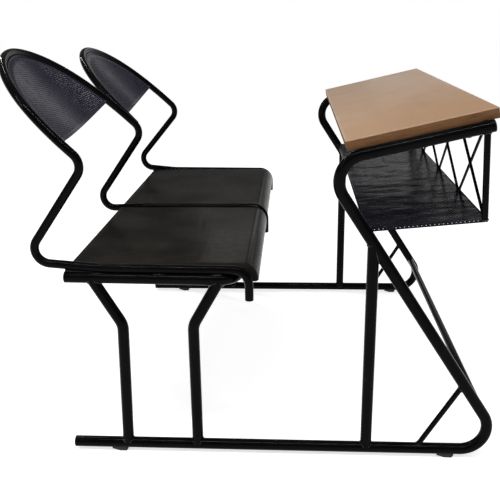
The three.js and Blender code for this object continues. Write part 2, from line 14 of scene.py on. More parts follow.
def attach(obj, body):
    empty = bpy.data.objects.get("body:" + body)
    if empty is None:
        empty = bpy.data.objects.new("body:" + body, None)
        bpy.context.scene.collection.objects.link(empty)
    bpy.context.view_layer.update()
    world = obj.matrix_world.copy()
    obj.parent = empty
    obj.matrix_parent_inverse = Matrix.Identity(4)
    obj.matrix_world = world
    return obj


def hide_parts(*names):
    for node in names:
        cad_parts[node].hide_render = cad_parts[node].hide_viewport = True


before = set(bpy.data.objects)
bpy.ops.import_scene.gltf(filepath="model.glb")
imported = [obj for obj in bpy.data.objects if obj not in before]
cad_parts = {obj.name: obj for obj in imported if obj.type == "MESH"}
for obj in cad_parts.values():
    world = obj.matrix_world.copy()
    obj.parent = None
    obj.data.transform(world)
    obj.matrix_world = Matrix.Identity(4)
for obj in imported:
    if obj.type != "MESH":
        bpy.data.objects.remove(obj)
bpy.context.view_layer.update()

BODY = "root"
MM = 0.001
# The layout below is in mm from the skids' centre line, and the frame's origin is on the floor.
LAYOUT_SHIFT = Vector((-17.257, 0.0, 18.7))
UP = Vector((0.0, 0.0, 1.0))
WHITE = (1.0, 1.0, 1.0, 1.0)
# Edges that turn by more than this, in degrees, stay sharp on a piece that is shaded smooth.
SHEET_EDGE = 35.0
ROLLED_EDGE = 50.0
BEAD_EDGE = 80.0
# How many sides a drawn tube has follows from this bevel resolution.
TUBE_RING = 12
# Faces whose direction's upward part is above this count as a cap, and as its flat middle.
CAP_UP = 0.9
FLAT_UP = 0.99
# Points nearer than this, in metres, are one.
TINY = 1e-6

log = logging.getLogger("school_desk")


class Side(Enum):
    """The two sides of the desk, as the pupils sit."""

    RIGHT = -1
    LEFT = 1

    @property
    def word(self) -> str:
        """The side's name in node names."""
        return self.name.lower()


class Slot(Enum):
    """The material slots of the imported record."""

    FRAME = "frame_paint"
    SHEET = "sheet_paint"
    BOARD = "board"
    PLUG = "plug_plastic"
    GLIDE = "glide_rubber"


def to_frame(spot: Vector) -> Vector:
    """Turns a spot of the layout, in mm, into a place in the CAD frame, in metres."""
    return (spot + LAYOUT_SHIFT) * MM


def turned_to(way: Vector) -> Matrix:
    """Turns what looks upwards to look this way."""
    return UP.rotation_difference(way).to_matrix().to_4x4()


# Sizes and centre lines


@dataclass(frozen=True)
class Bar:
    """A straight stretch of tube or rod, in layout mm."""

    start: Vector
    end: Vector
    radius: float

    @property
    def direction(self) -> Vector:
        """The unit direction from start to end."""
        return (self.end - self.start).normalized()


@dataclass(frozen=True)
class Hoop:
    """The arch of one backrest in its leaning plane."""

    centre_y: float
    half_width: float
    height: float


@dataclass(frozen=True)
class Layout:
    """The sizes of the desk in mm, and the centre lines that follow from them."""

    frame_d: float = 25.4
    chair_d: float = 19.05
    cross_d: float = 19.05
    post_d: float = 13.5
    brace_d: float = 12.0
    lattice_d: float = 6.6
    gap: float = 0.3
    side_y: float = 512.0
    skid_rear_x: float = -384.0
    skid_to_diagonal_x: float = 610.0
    diagonal_lean: float = math.radians(32.8)
    side_bend_r: float = 57.25
    top_slope: float = math.radians(12.45)
    rail_front_x: float = 518.99
    rail_at_zero_z: float = 622.6
    desk_post_x: float = 293.0
    brace_foot_x: float = 406.5
    brace_lean: float = math.radians(30.5)
    low_cross_z: float = 105.0
    leg_knee_z: float = 301.0
    leg_splay: float = math.radians(29.6)
    leg_bend_r: float = 48.0
    seat_frame_z: float = 408.7
    seat_frame_rear_x: float = -371.5
    seat_frame_front_x: float = 4.0
    seat_frame_bend_r: float = 45.0
    seat_frame_rise: float = 4.5
    seat_cross_x: float = -265.0
    stub_x: float = 41.5
    right_stub_setback: float = 11.5
    stub_end_z: float = 364.0
    stub_bend_r: float = 35.0
    run_lift_x: float = -294.0
    run_lift_r: float = 200.0
    rear_corner_x: float = -448.0
    chair_bend_r: float = 33.0
    knee_x: float = -290.5
    knee_z: float = 651.5
    knee_bend_r: float = 34.0
    hoop_lean: float = math.radians(46.6)
    hoop_round_across: float = 1.82
    hoop_round_up: float = 2.6
    hoop_start_share: float = 0.2
    corner_step_x: float = 13.0
    knee_step_x: float = 18.5
    knee_step_z: float = -10.5
    outer_corner_rise: float = 18.0
    shelf_rear_x: float = 275.0
    shelf_front_x: float = 523.99
    shelf_rear_z: float = 522.4
    shelf_slope: float = math.radians(5.26)
    shelf_post_x: float = 516.99
    shelf_post_lean: float = math.radians(3.1)
    front_cross_x: float = 503.99
    board_rear_x: float = 227.8
    board_thick: float = 20.0
    arc_step: float = math.radians(5.0)
    straight_below: float = math.radians(0.1)
    hoop_steps: int = 110
    middle_proud: float = 5.5
    middle_stub_step: float = 3.0
    left_foot_y: float = 4.0
    left_foot_up: float = 26.0
    right_hoop: Hoop = Hoop(-256.0, 256.0, 318.0)
    left_hoop: Hoop = Hoop(261.0, 251.0, 302.0)

    @property
    def run_z(self) -> float:
        """The height of the chair tubes' run beside the seats, before a tube's own rise."""
        return self.seat_frame_z + self.frame_d / 2 + self.gap + self.chair_d / 2

    @staticmethod
    def at(y: float, *spots: tuple[float, float]) -> list[Vector]:
        """Places at one y, from their x and z."""
        return [Vector((x, y, z)) for x, z in spots]

    def bar(self, y: float, start: tuple, end: tuple, diameter: float) -> Bar:
        """A straight bar at one y, from the x and z of its ends."""
        return Bar(*self.at(y, start, end), diameter / 2)

    def bend(self, before: Vector, corner: Vector, after: Vector, radius: float) -> list[Vector]:
        """The points of a bend at a corner between two straight runs.

        Args:
            before: A point on the run that comes in.
            corner: Where the two runs would meet.
            after: A point on the run that goes out.
            radius: The radius of the bend's centre line.

        Returns:
            The points of the arc, or the corner alone where the run is straight.
        """
        into = (corner - before).normalized()
        out = (after - corner).normalized()
        turn = into.angle(out)
        if turn < self.straight_below:
            return [corner]
        reach = radius * math.tan(turn / 2)
        side = (out - into * into.dot(out)).normalized()
        start = corner - into * reach
        steps = max(2, math.ceil(turn / self.arc_step))
        points = []
        for i in range(steps + 1):
            angle = turn * i / steps
            swing = side * (radius * (1 - math.cos(angle)))
            points.append(start + swing + into * (radius * math.sin(angle)))
        return points

    def path(self, points: Sequence[Vector], radii: Sequence[float]) -> list[Vector]:
        """A line through the points, with a bend of the given radius at each inner one.

        Args:
            points: The ends and corners.
            radii: One bend radius for each corner.

        Returns:
            The points of the whole line.
        """
        line = [points[0]]
        for i, radius in enumerate(radii):
            line += self.bend(points[i], points[i + 1], points[i + 2], radius)
        return [*line, points[-1]]

    def diagonal_x(self, z: float) -> float:
        """Where the side frame's diagonal is at this height."""
        return self.skid_to_diagonal_x - z * math.tan(self.diagonal_lean)

    def rail_z(self, x: float) -> float:
        """The height of the desk rail's centre line."""
        return self.rail_at_zero_z + x * math.tan(self.top_slope)

    def shelf_z(self, x: float) -> float:
        """The height of the shelf's top face."""
        return self.shelf_rear_z + (x - self.shelf_rear_x) * math.tan(self.shelf_slope)

    def seat_rail_z(self, x: float) -> float:
        """The height of the seat frame's side rails, which rise to the rear."""
        length = self.seat_frame_front_x - self.seat_frame_rear_x
        return self.seat_frame_z + self.seat_frame_rise * (self.seat_frame_front_x - x) / length

    def side_line(self, y: float) -> list[Vector]:
        """Skid, diagonal and desk rail of one side frame."""
        fall = math.tan(self.diagonal_lean) * math.tan(self.top_slope)
        corner_z = self.rail_z(self.skid_to_diagonal_x) / (1 + fall)
        points = self.at(
            y,
            (self.skid_rear_x, 0),
            (self.skid_to_diagonal_x, 0),
            (self.diagonal_x(corner_z), corner_z),
            (self.rail_front_x, self.rail_z(self.rail_front_x)),
        )
        return self.path(points, [self.side_bend_r] * 2)

    def skid(self, y: float) -> Bar:
        """The straight part of one skid."""
        return self.bar(y, (self.skid_rear_x, 0), (self.skid_to_diagonal_x, 0), self.frame_d)

    def diagonal(self, y: float) -> Bar:
        """The straight part of one diagonal."""
        top_x = self.desk_post_x + self.frame_d
        top_z = (self.skid_to_diagonal_x - top_x) / math.tan(self.diagonal_lean)
        top = (self.diagonal_x(top_z), top_z)
        return self.bar(y, (self.skid_to_diagonal_x, 0), top, self.frame_d)

    def desk_rail(self, y: float) -> Bar:
        """The straight part of one desk rail."""
        ends = ((x, self.rail_z(x)) for x in (self.shelf_rear_x, self.rail_front_x))
        return self.bar(y, *ends, self.frame_d)

    def seat_rail(self, y: float) -> Bar:
        """The straight part of one seat frame rail."""
        rear = (self.seat_frame_rear_x, self.seat_rail_z(self.seat_frame_rear_x))
        return self.bar(y, rear, (self.seat_frame_front_x, self.seat_frame_z), self.frame_d)

    def desk_post(self, y: float) -> Bar:
        """The upright under one diagonal."""
        top_z = (self.skid_to_diagonal_x - self.desk_post_x) / math.tan(self.diagonal_lean)
        return self.bar(y, (self.desk_post_x, 0), (self.desk_post_x, top_z), self.frame_d)

    def brace(self, y: float) -> Bar:
        """The rod across one front lower corner."""
        rise = math.tan(self.brace_lean) + math.tan(self.diagonal_lean)
        top_z = (self.skid_to_diagonal_x - self.brace_foot_x) / rise
        top = (self.diagonal_x(top_z), top_z)
        return self.bar(y, (self.brace_foot_x, 0), top, self.brace_d)

    def leg_points(self, y: float, foot_x: float, knee_x: float, splay: int) -> list[Vector]:
        """Foot, knee and head of one chair leg.

        Args:
            y: The leg's place across the desk.
            foot_x: Where it stands on the skid.
            knee_x: Where it bends.
            splay: 1 where its head leans forward, and -1 where it leans back.

        Returns:
            The three points.
        """
        lean = (self.seat_frame_z - self.leg_knee_z) * math.tan(self.leg_splay)
        head = (knee_x + splay * lean, self.seat_frame_z)
        return self.at(y, (foot_x, 0), (knee_x, self.leg_knee_z), head)

    def seat_frame_line(self) -> list[Vector]:
        """The U-shaped tube under both seats."""
        y = self.side_y
        rear_z = self.seat_rail_z(self.seat_frame_rear_x)
        points = [
            Vector((self.seat_frame_rear_x, -y, rear_z)),
            Vector((self.seat_frame_front_x, -y, self.seat_frame_z)),
            Vector((self.seat_frame_front_x, y, self.seat_frame_z)),
            Vector((self.seat_frame_rear_x, y, rear_z)),
        ]
        return self.path(points, [self.seat_frame_bend_r] * 2)

    def across(self, x: float, z: float) -> Bar:
        """A cross tube between the two sides."""
        return Bar(Vector((x, -self.side_y, z)), Vector((x, self.side_y, z)), self.cross_d / 2)

    def seat_cross(self) -> Bar:
        """The hidden tube between the seat rails."""
        z = self.seat_frame_z + self.frame_d / 2 - self.cross_d / 2
        return self.across(self.seat_cross_x, z)

    def low_cross(self) -> Bar:
        """The tube between the two diagonals."""
        return self.across(self.diagonal_x(self.low_cross_z), self.low_cross_z)

    def front_cross(self) -> Bar:
        """The tube under the board's front edge."""
        lift = (self.frame_d / 2 - self.cross_d / 2) / math.cos(self.top_slope)
        return self.across(self.front_cross_x, self.rail_z(self.front_cross_x) + lift)

    def shelf_post(self, y: float) -> Bar:
        """The thin upright from one front corner of the shelf to the rail."""
        low_z, high_z = self.shelf_z(self.shelf_post_x), self.rail_z(self.shelf_post_x)
        top_x = self.shelf_post_x - (high_z - low_z) * math.tan(self.shelf_post_lean)
        return self.bar(y, (self.shelf_post_x, low_z), (top_x, high_z), self.post_d)

    def leaning(self, y: float, up: float, behind: float = 0.0) -> Vector:
        """A place in the leaning plane of the backs.

        Args:
            y: The place across the desk.
            up: The distance along the plane from the knees.
            behind: How far the place is set behind the plane.

        Returns:
            The place in layout mm.
        """
        share = y / self.side_y
        sin, cos = math.sin(self.hoop_lean), math.cos(self.hoop_lean)
        x = self.knee_x + self.knee_step_x * share - up * sin - behind * cos
        z = self.knee_z + self.knee_step_z * share + up * cos - behind * sin
        return Vector((x, y, z))

    def hoop_place(self, hoop: Hoop, angle: float) -> Vector:
        """A place on a hoop, from its right foot at angle 0 to its left foot at half a turn."""
        cos = math.cos(angle)
        across = math.copysign(abs(cos) ** (2 / self.hoop_round_across), cos)
        up = hoop.height * max(math.sin(angle), 0.0) ** (2 / self.hoop_round_up)
        return self.leaning(hoop.centre_y - hoop.half_width * across, up)

    def hoop_line(self, hoop: Hoop) -> list[Vector]:
        """The arch of a hoop, above its two straight starts."""
        start = math.asin(self.hoop_start_share ** (self.hoop_round_up / 2))
        sweep = math.pi - 2 * start
        steps = self.hoop_steps
        return [self.hoop_place(hoop, start + sweep * i / steps) for i in range(steps + 1)]

    def arch_height(self, hoop: Hoop, across: float) -> float:
        """The height of a hoop's centre line at a share of its half width."""
        rest = max(1 - abs(across) ** self.hoop_round_across, 0.0)
        return hoop.height * rest ** (1 / self.hoop_round_up)

    def upright_line(self, y: float, hoop_start: Vector) -> list[Vector]:
        """Stub, seat run, rear bend, upright and knee of a chair tube.

        Args:
            y: The tube's place across the desk.
            hoop_start: The first point of the hoop, which the knee turns to.

        Returns:
            The points from the stub's end to the end of the knee.
        """
        stub_x = self.stub_x - (self.right_stub_setback if y < 0 else 0.0)
        stub_x += 0.0 if y else self.middle_stub_step
        share = abs(y) / self.side_y
        proud = self.middle_proud * (1 - share)

        def run(x: float) -> float:
            """The height of this tube's seat run."""
            return self.run_z + proud + (self.seat_rail_z(x) - self.seat_frame_z) * share

        corner_x = self.rear_corner_x + self.corner_step_x * y / self.side_y
        straight = self.at(
            y,
            (stub_x, self.stub_end_z),
            (stub_x, run(stub_x)),
            (self.run_lift_x, run(self.run_lift_x)),
            (corner_x, self.run_z + self.outer_corner_rise * share),
        )
        points = [*straight, self.leaning(y, 0), hoop_start]
        radii = [self.stub_bend_r, self.run_lift_r, self.chair_bend_r, self.knee_bend_r]
        return self.path(points, radii)[:-1]

    def right_chair_line(self) -> list[Vector]:
        """The right chair's tube, with the middle upright."""
        arch = self.hoop_line(self.right_hoop)
        right = self.upright_line(-self.side_y, arch[0])
        middle = self.upright_line(0, arch[-1])
        return [*right, *arch, *reversed(middle)]

    def left_chair_line(self) -> list[Vector]:
        """The left chair's tube, from the middle knee to the left stub."""
        arch = self.hoop_line(self.left_hoop)
        left = self.upright_line(self.side_y, arch[-1])
        return [self.leaning(self.left_foot_y, self.left_foot_up), *arch, *reversed(left)]

    @staticmethod
    def tilted(origin: Vector, slope: float) -> Matrix:
        """Takes a place in a sloping part's own frame, in mm, to the CAD frame, in metres."""
        turn = Matrix.Rotation(-slope, 4, "Y")
        return Matrix.Translation(to_frame(origin)) @ turn @ Matrix.Diagonal((MM, MM, MM, 1))

    def board_matrix(self) -> Matrix:
        """The board's own frame."""
        lift = self.frame_d / 2 + self.gap
        rear_low = self.board_rear_x + (lift + self.board_thick) * math.sin(self.top_slope)
        return self.tilted(Vector((rear_low, 0, self.rail_z(rear_low))), self.top_slope)

    def shelf_matrix(self) -> Matrix:
        """The shelf's own frame."""
        return self.tilted(Vector((self.shelf_rear_x, 0, self.shelf_rear_z)), self.shelf_slope)


LAYOUT = Layout()


# Tools of the bench


class Bench:
    """Ways to make and finish meshes with Blender's own operators."""

    @staticmethod
    def clear() -> None:
        """Leaves nothing selected, because every operator acts on the selection."""
        bpy.ops.object.select_all(action="DESELECT")

    @staticmethod
    def hold(piece: bpy.types.Object) -> None:
        """Makes this piece the one that operators act on."""
        Bench.clear()
        piece.select_set(True)
        bpy.context.view_layer.objects.active = piece

    @staticmethod
    @contextmanager
    def editing(everything: bool = True) -> Iterator[None]:
        """Edits the active piece.

        Args:
            everything: Whether all of it is selected first, or just what was picked.

        Returns:
            A context that ends the editing.
        """
        bpy.ops.object.mode_set(mode="EDIT")
        if everything:
            bpy.ops.mesh.select_all(action="SELECT")
        yield
        bpy.ops.object.mode_set(mode="OBJECT")

    @staticmethod
    def pick_faces(
        piece: bpy.types.Object, wanted: Callable[[bpy.types.MeshPolygon], bool]
    ) -> None:
        """Selects the faces of the active piece that pass a test, and nothing else.

        Args:
            piece: The active piece.
            wanted: Says whether a face is selected.
        """
        with Bench.editing(everything=False):
            bpy.ops.mesh.select_mode(type="FACE")
            bpy.ops.mesh.select_all(action="DESELECT")
        for polygon in piece.data.polygons:
            polygon.select = wanted(polygon)

    @staticmethod
    def modify(piece: bpy.types.Object, kind: str, **settings: object) -> None:
        """Gives the active piece a modifier and applies it.

        Args:
            piece: The active piece.
            kind: The modifier's type.
            settings: Values for its properties.
        """
        modifier = piece.modifiers.new(kind.lower(), kind)
        for key, value in settings.items():
            setattr(modifier, key, value)
        bpy.ops.object.modifier_apply(modifier=modifier.name)

    @staticmethod
    def drawn(strokes: Sequence["Stroke"], ring: int) -> bpy.types.Object:
        """Draws round bars along strokes, as one mesh.

        Args:
            strokes: The centre lines with their thickness, in layout mm.
            ring: The bevel resolution, which sets how many sides the bars have.

        Returns:
            The new mesh object.
        """
        Bench.clear()
        bpy.ops.curve.primitive_nurbs_path_add(location=(0, 0, 0))
        piece = bpy.context.object
        curve = piece.data
        curve.splines.clear()
        curve.dimensions = "3D"
        curve.bevel_depth = MM
        curve.bevel_resolution = ring
        curve.use_fill_caps = True
        for stroke in strokes:
            spline = curve.splines.new("POLY")
            spline.points.add(len(stroke.line) - 1)
            for i, (point, spot) in enumerate(zip(spline.points, stroke.line)):
                point.co = (*to_frame(spot), 1.0)
                point.radius = stroke.thickness(i)
            spline.use_cyclic_u = stroke.closed
        bpy.ops.object.convert(target="MESH")
        return bpy.context.object

    @staticmethod
    def grid(across: int, along: int, where: Callable[[float, float], Vector]) -> bpy.types.Object:
        """Makes a grid and moves each of its points.

        Args:
            across: The number of faces along u.
            along: The number of faces along v.
            where: Gives the place in metres of a point, from its u and v between 0 and 1.

        Returns:
            The new mesh object.
        """
        Bench.clear()
        bpy.ops.mesh.primitive_grid_add(
            x_subdivisions=across, y_subdivisions=along, size=1, location=(0, 0, 0)
        )
        piece = bpy.context.object
        for vertex in piece.data.vertices:
            vertex.co = where(vertex.co.x + 0.5, vertex.co.y + 0.5)
        return piece

    @staticmethod
    def block(low: Vector, high: Vector, ease: float, matrix: Matrix) -> bpy.types.Object:
        """Makes a box with eased edges in a part's own frame, then puts it in place.

        Args:
            low: The lowest corner, in mm.
            high: The highest corner, in mm.
            ease: The width of the rounded edges, in mm.
            matrix: Takes the part's own frame to the CAD frame.

        Returns:
            The new mesh object.
        """
        Bench.clear()
        bpy.ops.mesh.primitive_cube_add(size=1, location=(0, 0, 0))
        piece = bpy.context.object
        with Bench.editing():
            bpy.ops.transform.resize(value=tuple(high - low))
            bpy.ops.transform.translate(value=tuple((high + low) / 2))
            bpy.ops.mesh.bevel(offset=ease, segments=3, profile=0.5, affect="EDGES")
        piece.data.transform(matrix)
        return piece

    @staticmethod
    def face(piece: bpy.types.Object, towards: Vector) -> None:
        """Turns all faces over where most of them look away from a direction."""
        total = sum((p.normal * p.area for p in piece.data.polygons), Vector())
        if total.dot(towards) < 0:
            Bench.hold(piece)
            with Bench.editing():
                bpy.ops.mesh.flip_normals()

    @staticmethod
    def thicken(piece: bpy.types.Object, thickness: float, offset: float) -> None:
        """Gives a sheet its wall, whose cut edges take the second material.

        Args:
            piece: The sheet.
            thickness: The wall, in mm.
            offset: -1 where the wall goes behind the faces, and 0 where it is centred.
        """
        Bench.hold(piece)
        wall = {"thickness": thickness * MM, "offset": offset, "material_offset_rim": 1}
        Bench.modify(piece, "SOLIDIFY", **wall)

    @staticmethod
    def round_edges(piece: bpy.types.Object, width: float, angle: float) -> None:
        """Rounds the sharp edges of a piece.

        Args:
            piece: The piece.
            width: The width of the rounding, in mm.
            angle: Edges that turn by more than this, in degrees, are rounded.
        """
        Bench.hold(piece)
        edge = {"width": width * MM, "segments": 2}
        limit = {"limit_method": "ANGLE", "angle_limit": math.radians(angle)}
        Bench.modify(piece, "BEVEL", **edge, **limit)

    @staticmethod
    def smooth(piece: bpy.types.Object, angle: float = 40.0) -> None:
        """Shades a piece smooth, with sharp edges where it turns by more than the angle."""
        Bench.hold(piece)
        bpy.ops.object.shade_smooth_by_angle(angle=math.radians(angle))

    @staticmethod
    def cut(piece: bpy.types.Object, at: Vector, outward: Vector) -> None:
        """Cuts away what lies past a plane.

        Args:
            piece: The piece.
            at: A place on the plane.
            outward: The plane's direction, towards the side that goes.
        """
        Bench.hold(piece)
        plane = {"plane_co": tuple(at), "plane_no": tuple(outward.normalized())}
        with Bench.editing():
            bpy.ops.mesh.bisect(**plane, clear_outer=True, threshold=TINY)

    @staticmethod
    def trim(piece: bpy.types.Object, low: Vector, high: Vector) -> None:
        """Cuts a flat sheet to a rectangle."""
        for at, way in ((low, (-1, 0, 0)), (high, (1, 0, 0)), (low, (0, -1, 0)), (high, (0, 1, 0))):
            Bench.cut(piece, at, Vector(way))

    @staticmethod
    def drop_faces(piece: bpy.types.Object, goes: Callable[[Vector], bool]) -> None:
        """Deletes the faces whose middles pass a test.

        Args:
            piece: The piece.
            goes: Says whether a face with this middle goes.
        """
        Bench.hold(piece)
        Bench.pick_faces(piece, lambda face: goes(face.center))
        with Bench.editing(everything=False):
            bpy.ops.mesh.delete(type="FACE")
            bpy.ops.mesh.select_mode(type="VERT")


@dataclass(frozen=True)
class Stroke:
    """One drawn bar or bead: its centre line and its thickness."""

    line: Sequence[Vector]
    radius: float
    closed: bool = False
    ripple: float = 0.0
    taper: bool = False
    growth: float = 0.0
    beat: float = 2.2
    drift: float = 0.37
    tip: float = 0.25

    def thickness(self, i: int) -> float:
        """The radius at point i, in mm, with the ripple of a hand-laid bead."""
        share = i / (len(self.line) - 1)
        wave = 1 + self.ripple * math.sin(i * self.beat) * math.cos(i * self.drift)
        radius = (self.radius + self.growth * share) * wave
        return radius * max(math.sin(math.pi * share), self.tip) ** 0.5 if self.taper else radius


@dataclass(frozen=True)
class Dressing:
    """What a finished piece is called, wears and stands for."""

    name: str
    finish: "Finish"
    slot: Slot
    nodes: tuple[str, ...] = ()
    cut_finish: "Finish | None" = None

    def put_on(self, piece: bpy.types.Object) -> bpy.types.Object:
        """Names, paints and fastens a piece, and hides the CAD nodes that it stands for."""
        piece.name = self.name
        piece.data.name = self.name
        edges = [polygon.material_index for polygon in piece.data.polygons]
        piece.data.materials.clear()
        piece.data.materials.append(self.finish.material())
        if self.cut_finish is not None:
            piece.data.materials.append(self.cut_finish.material())
            for polygon, index in zip(piece.data.polygons, edges):
                polygon.material_index = index
        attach(piece, BODY)
        if self.nodes:
            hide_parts(*self.nodes)
        log.info("%s: %d faces", self.name, len(piece.data.polygons))
        return piece


# Finishes


class Tree:
    """A node tree, with short ways to add and join nodes."""

    def __init__(self, tree: bpy.types.NodeTree) -> None:
        """Works on this tree."""
        self.tree = tree

    def add(self, kind: str, inputs: dict | None = None, **settings: object) -> bpy.types.Node:
        """Adds a node.

        Args:
            kind: The node's type.
            inputs: Values or sockets for its inputs, by name or number.
            settings: Values for its properties.

        Returns:
            The new node.
        """
        node = self.tree.nodes.new(kind)
        for key, value in settings.items():
            setattr(node, key, value)
        for key, value in (inputs or {}).items():
            if isinstance(value, bpy.types.NodeSocket):
                self.tree.links.new(value, node.inputs[key])
            else:
                node.inputs[key].default_value = value
        return node

    def math(self, operation: str, a: object, b: object = 0.0) -> bpy.types.NodeSocket:
        """One sum of two values."""
        return self.add("ShaderNodeMath", {0: a, 1: b}, operation=operation).outputs[0]


class Nodes(Tree):
    """The node tree of one material."""

    def __init__(self, name: str) -> None:
        """Starts a material of that name."""
        self.material = bpy.data.materials.new(name)
        self.material.use_nodes = True
        super().__init__(self.material.node_tree)
        self.shader = self.tree.nodes["Principled BSDF"]
        self.object = self.add("ShaderNodeTexCoord").outputs["Object"]

    def stretched(self, scale: tuple, turn: tuple = (0.0, 0.0, 0.0)) -> bpy.types.NodeSocket:
        """Object coordinates that are turned and then stretched."""
        turned = self.add("ShaderNodeMapping", {"Vector": self.object, "Rotation": turn})
        return self.add(
            "ShaderNodeMapping", {"Vector": turned.outputs[0], "Scale": scale}
        ).outputs[0]

    def noise(
        self, scale: float, detail: float = 3.0, rough: float = 0.5, vector: object = None
    ) -> bpy.types.NodeSocket:
        """Noise from 0 to 1.

        Args:
            scale: How many lumps there are to the metre.
            detail: How many finer layers lie on it.
            rough: How strong the finer layers are.
            vector: The coordinates, or None for the object's own.

        Returns:
            The noise's value.
        """
        return self.add(
            "ShaderNodeTexNoise",
            {"Vector": vector or self.object, "Scale": scale, "Detail": detail, "Roughness": rough},
        ).outputs[0]

    def spread(
        self, value: object, low: float, high: float, to_low: float = 0.0, to_high: float = 1.0
    ) -> bpy.types.NodeSocket:
        """Maps a range of a value to another range, and holds it there."""
        return self.add(
            "ShaderNodeMapRange", {0: value, 1: low, 2: high, 3: to_low, 4: to_high}
        ).outputs[0]

    def blend(self, share: object, a: object, b: object) -> bpy.types.NodeSocket:
        """Mixes colour b into colour a."""
        return self.add(
            "ShaderNodeMix", {0: share, 6: a, 7: b}, data_type="RGBA", clamp_factor=True
        ).outputs[2]

    def bump(self, height: object, depth: float, over: object = None) -> bpy.types.NodeSocket:
        """Raises a surface by a height from 0 to 1, of the given depth in metres."""
        inputs = {"Height": height, "Distance": depth, "Strength": 1.0}
        if over is not None:
            inputs["Normal"] = over
        return self.add("ShaderNodeBump", inputs).outputs[0]

    def upward(self) -> bpy.types.NodeSocket:
        """The upward part of the surface's direction, from -1 to 1."""
        normal = self.add("ShaderNodeNewGeometry").outputs["Normal"]
        return self.add("ShaderNodeSeparateXYZ", {0: normal}).outputs[2]

    def facing_up(self) -> bpy.types.NodeSocket:
        """How far a surface looks upwards, from 0 to 1."""
        return self.spread(self.upward(), 0.25, 0.95)

    def wear(self, **sockets: object) -> bpy.types.Material:
        """Sets the shader's sockets, whose names have _ for a space, and gives the material."""
        for key, value in sockets.items():
            socket = self.shader.inputs[key.replace("_", " ")]
            if isinstance(value, bpy.types.NodeSocket):
                self.tree.links.new(value, socket)
            else:
                socket.default_value = value
        return self.material


@dataclass(frozen=True)
class Finish:
    """A finish that is made once and then shared."""

    name: str

    def material(self) -> bpy.types.Material:
        """The material of this finish."""
        return bpy.data.materials.get(self.name) or self.make()

    def make(self) -> bpy.types.Material:
        """Builds the material."""
        raise NotImplementedError


@dataclass(frozen=True)
class Paint(Finish):
    """Black paint on steel: its depth of colour, gloss, peel, dust and scuffs."""

    dark: tuple = (0.0014, 0.0014, 0.0018, 1.0)
    light: tuple = (0.0036, 0.0035, 0.0041, 1.0)
    dust: tuple = (0.08, 0.078, 0.075, 1.0)
    scuffed: tuple = (0.09, 0.088, 0.085, 1.0)
    dust_share: float = 0.05
    scuff_share: float = 0.12
    rough_low: float = 0.06
    rough_high: float = 0.15
    specular: float = 0.042
    peel_scale: float = 330.0
    peel_depth: float = 0.00018
    dent_scales: tuple = (4.0, 14.0, 4.0)
    dent_depth: float = 0.0

    def make(self) -> bpy.types.Material:
        """Builds the paint from a tint, dust on top, scuffs, uneven gloss and peel."""
        n = Nodes(self.name)
        tint = n.blend(n.spread(n.noise(9.0), 0.35, 0.65), self.dark, self.light)
        lying = n.math("MULTIPLY", n.facing_up(), n.spread(n.noise(26.0, 5.0), 0.4, 0.75))
        dusty = n.blend(n.math("MULTIPLY", lying, self.dust_share), tint, self.dust)
        streaks = n.noise(30.0, 4.0, 0.6, n.stretched((1.0, 7.0, 2.0), (0.0, 0.3, 0.5)))
        scuff = n.spread(streaks, 0.66, 0.74, 0.0, 0.5)
        worn = n.blend(n.math("MULTIPLY", scuff, self.scuff_share), dusty, self.scuffed)
        gloss = n.spread(n.noise(48.0, 4.0), 0.3, 0.7, self.rough_low, self.rough_high)
        uneven = n.math("ADD", gloss, n.math("MULTIPLY", scuff, 0.25))
        skin = n.bump(n.noise(self.peel_scale, 2.0), self.peel_depth)
        if self.dent_depth:
            dents = n.noise(1.0, 2.0, 0.4, n.stretched(self.dent_scales))
            skin = n.bump(dents, self.dent_depth, skin)
        return n.wear(
            Base_Color=worn, Roughness=uneven, Normal=skin, Specular_IOR_Level=self.specular
        )


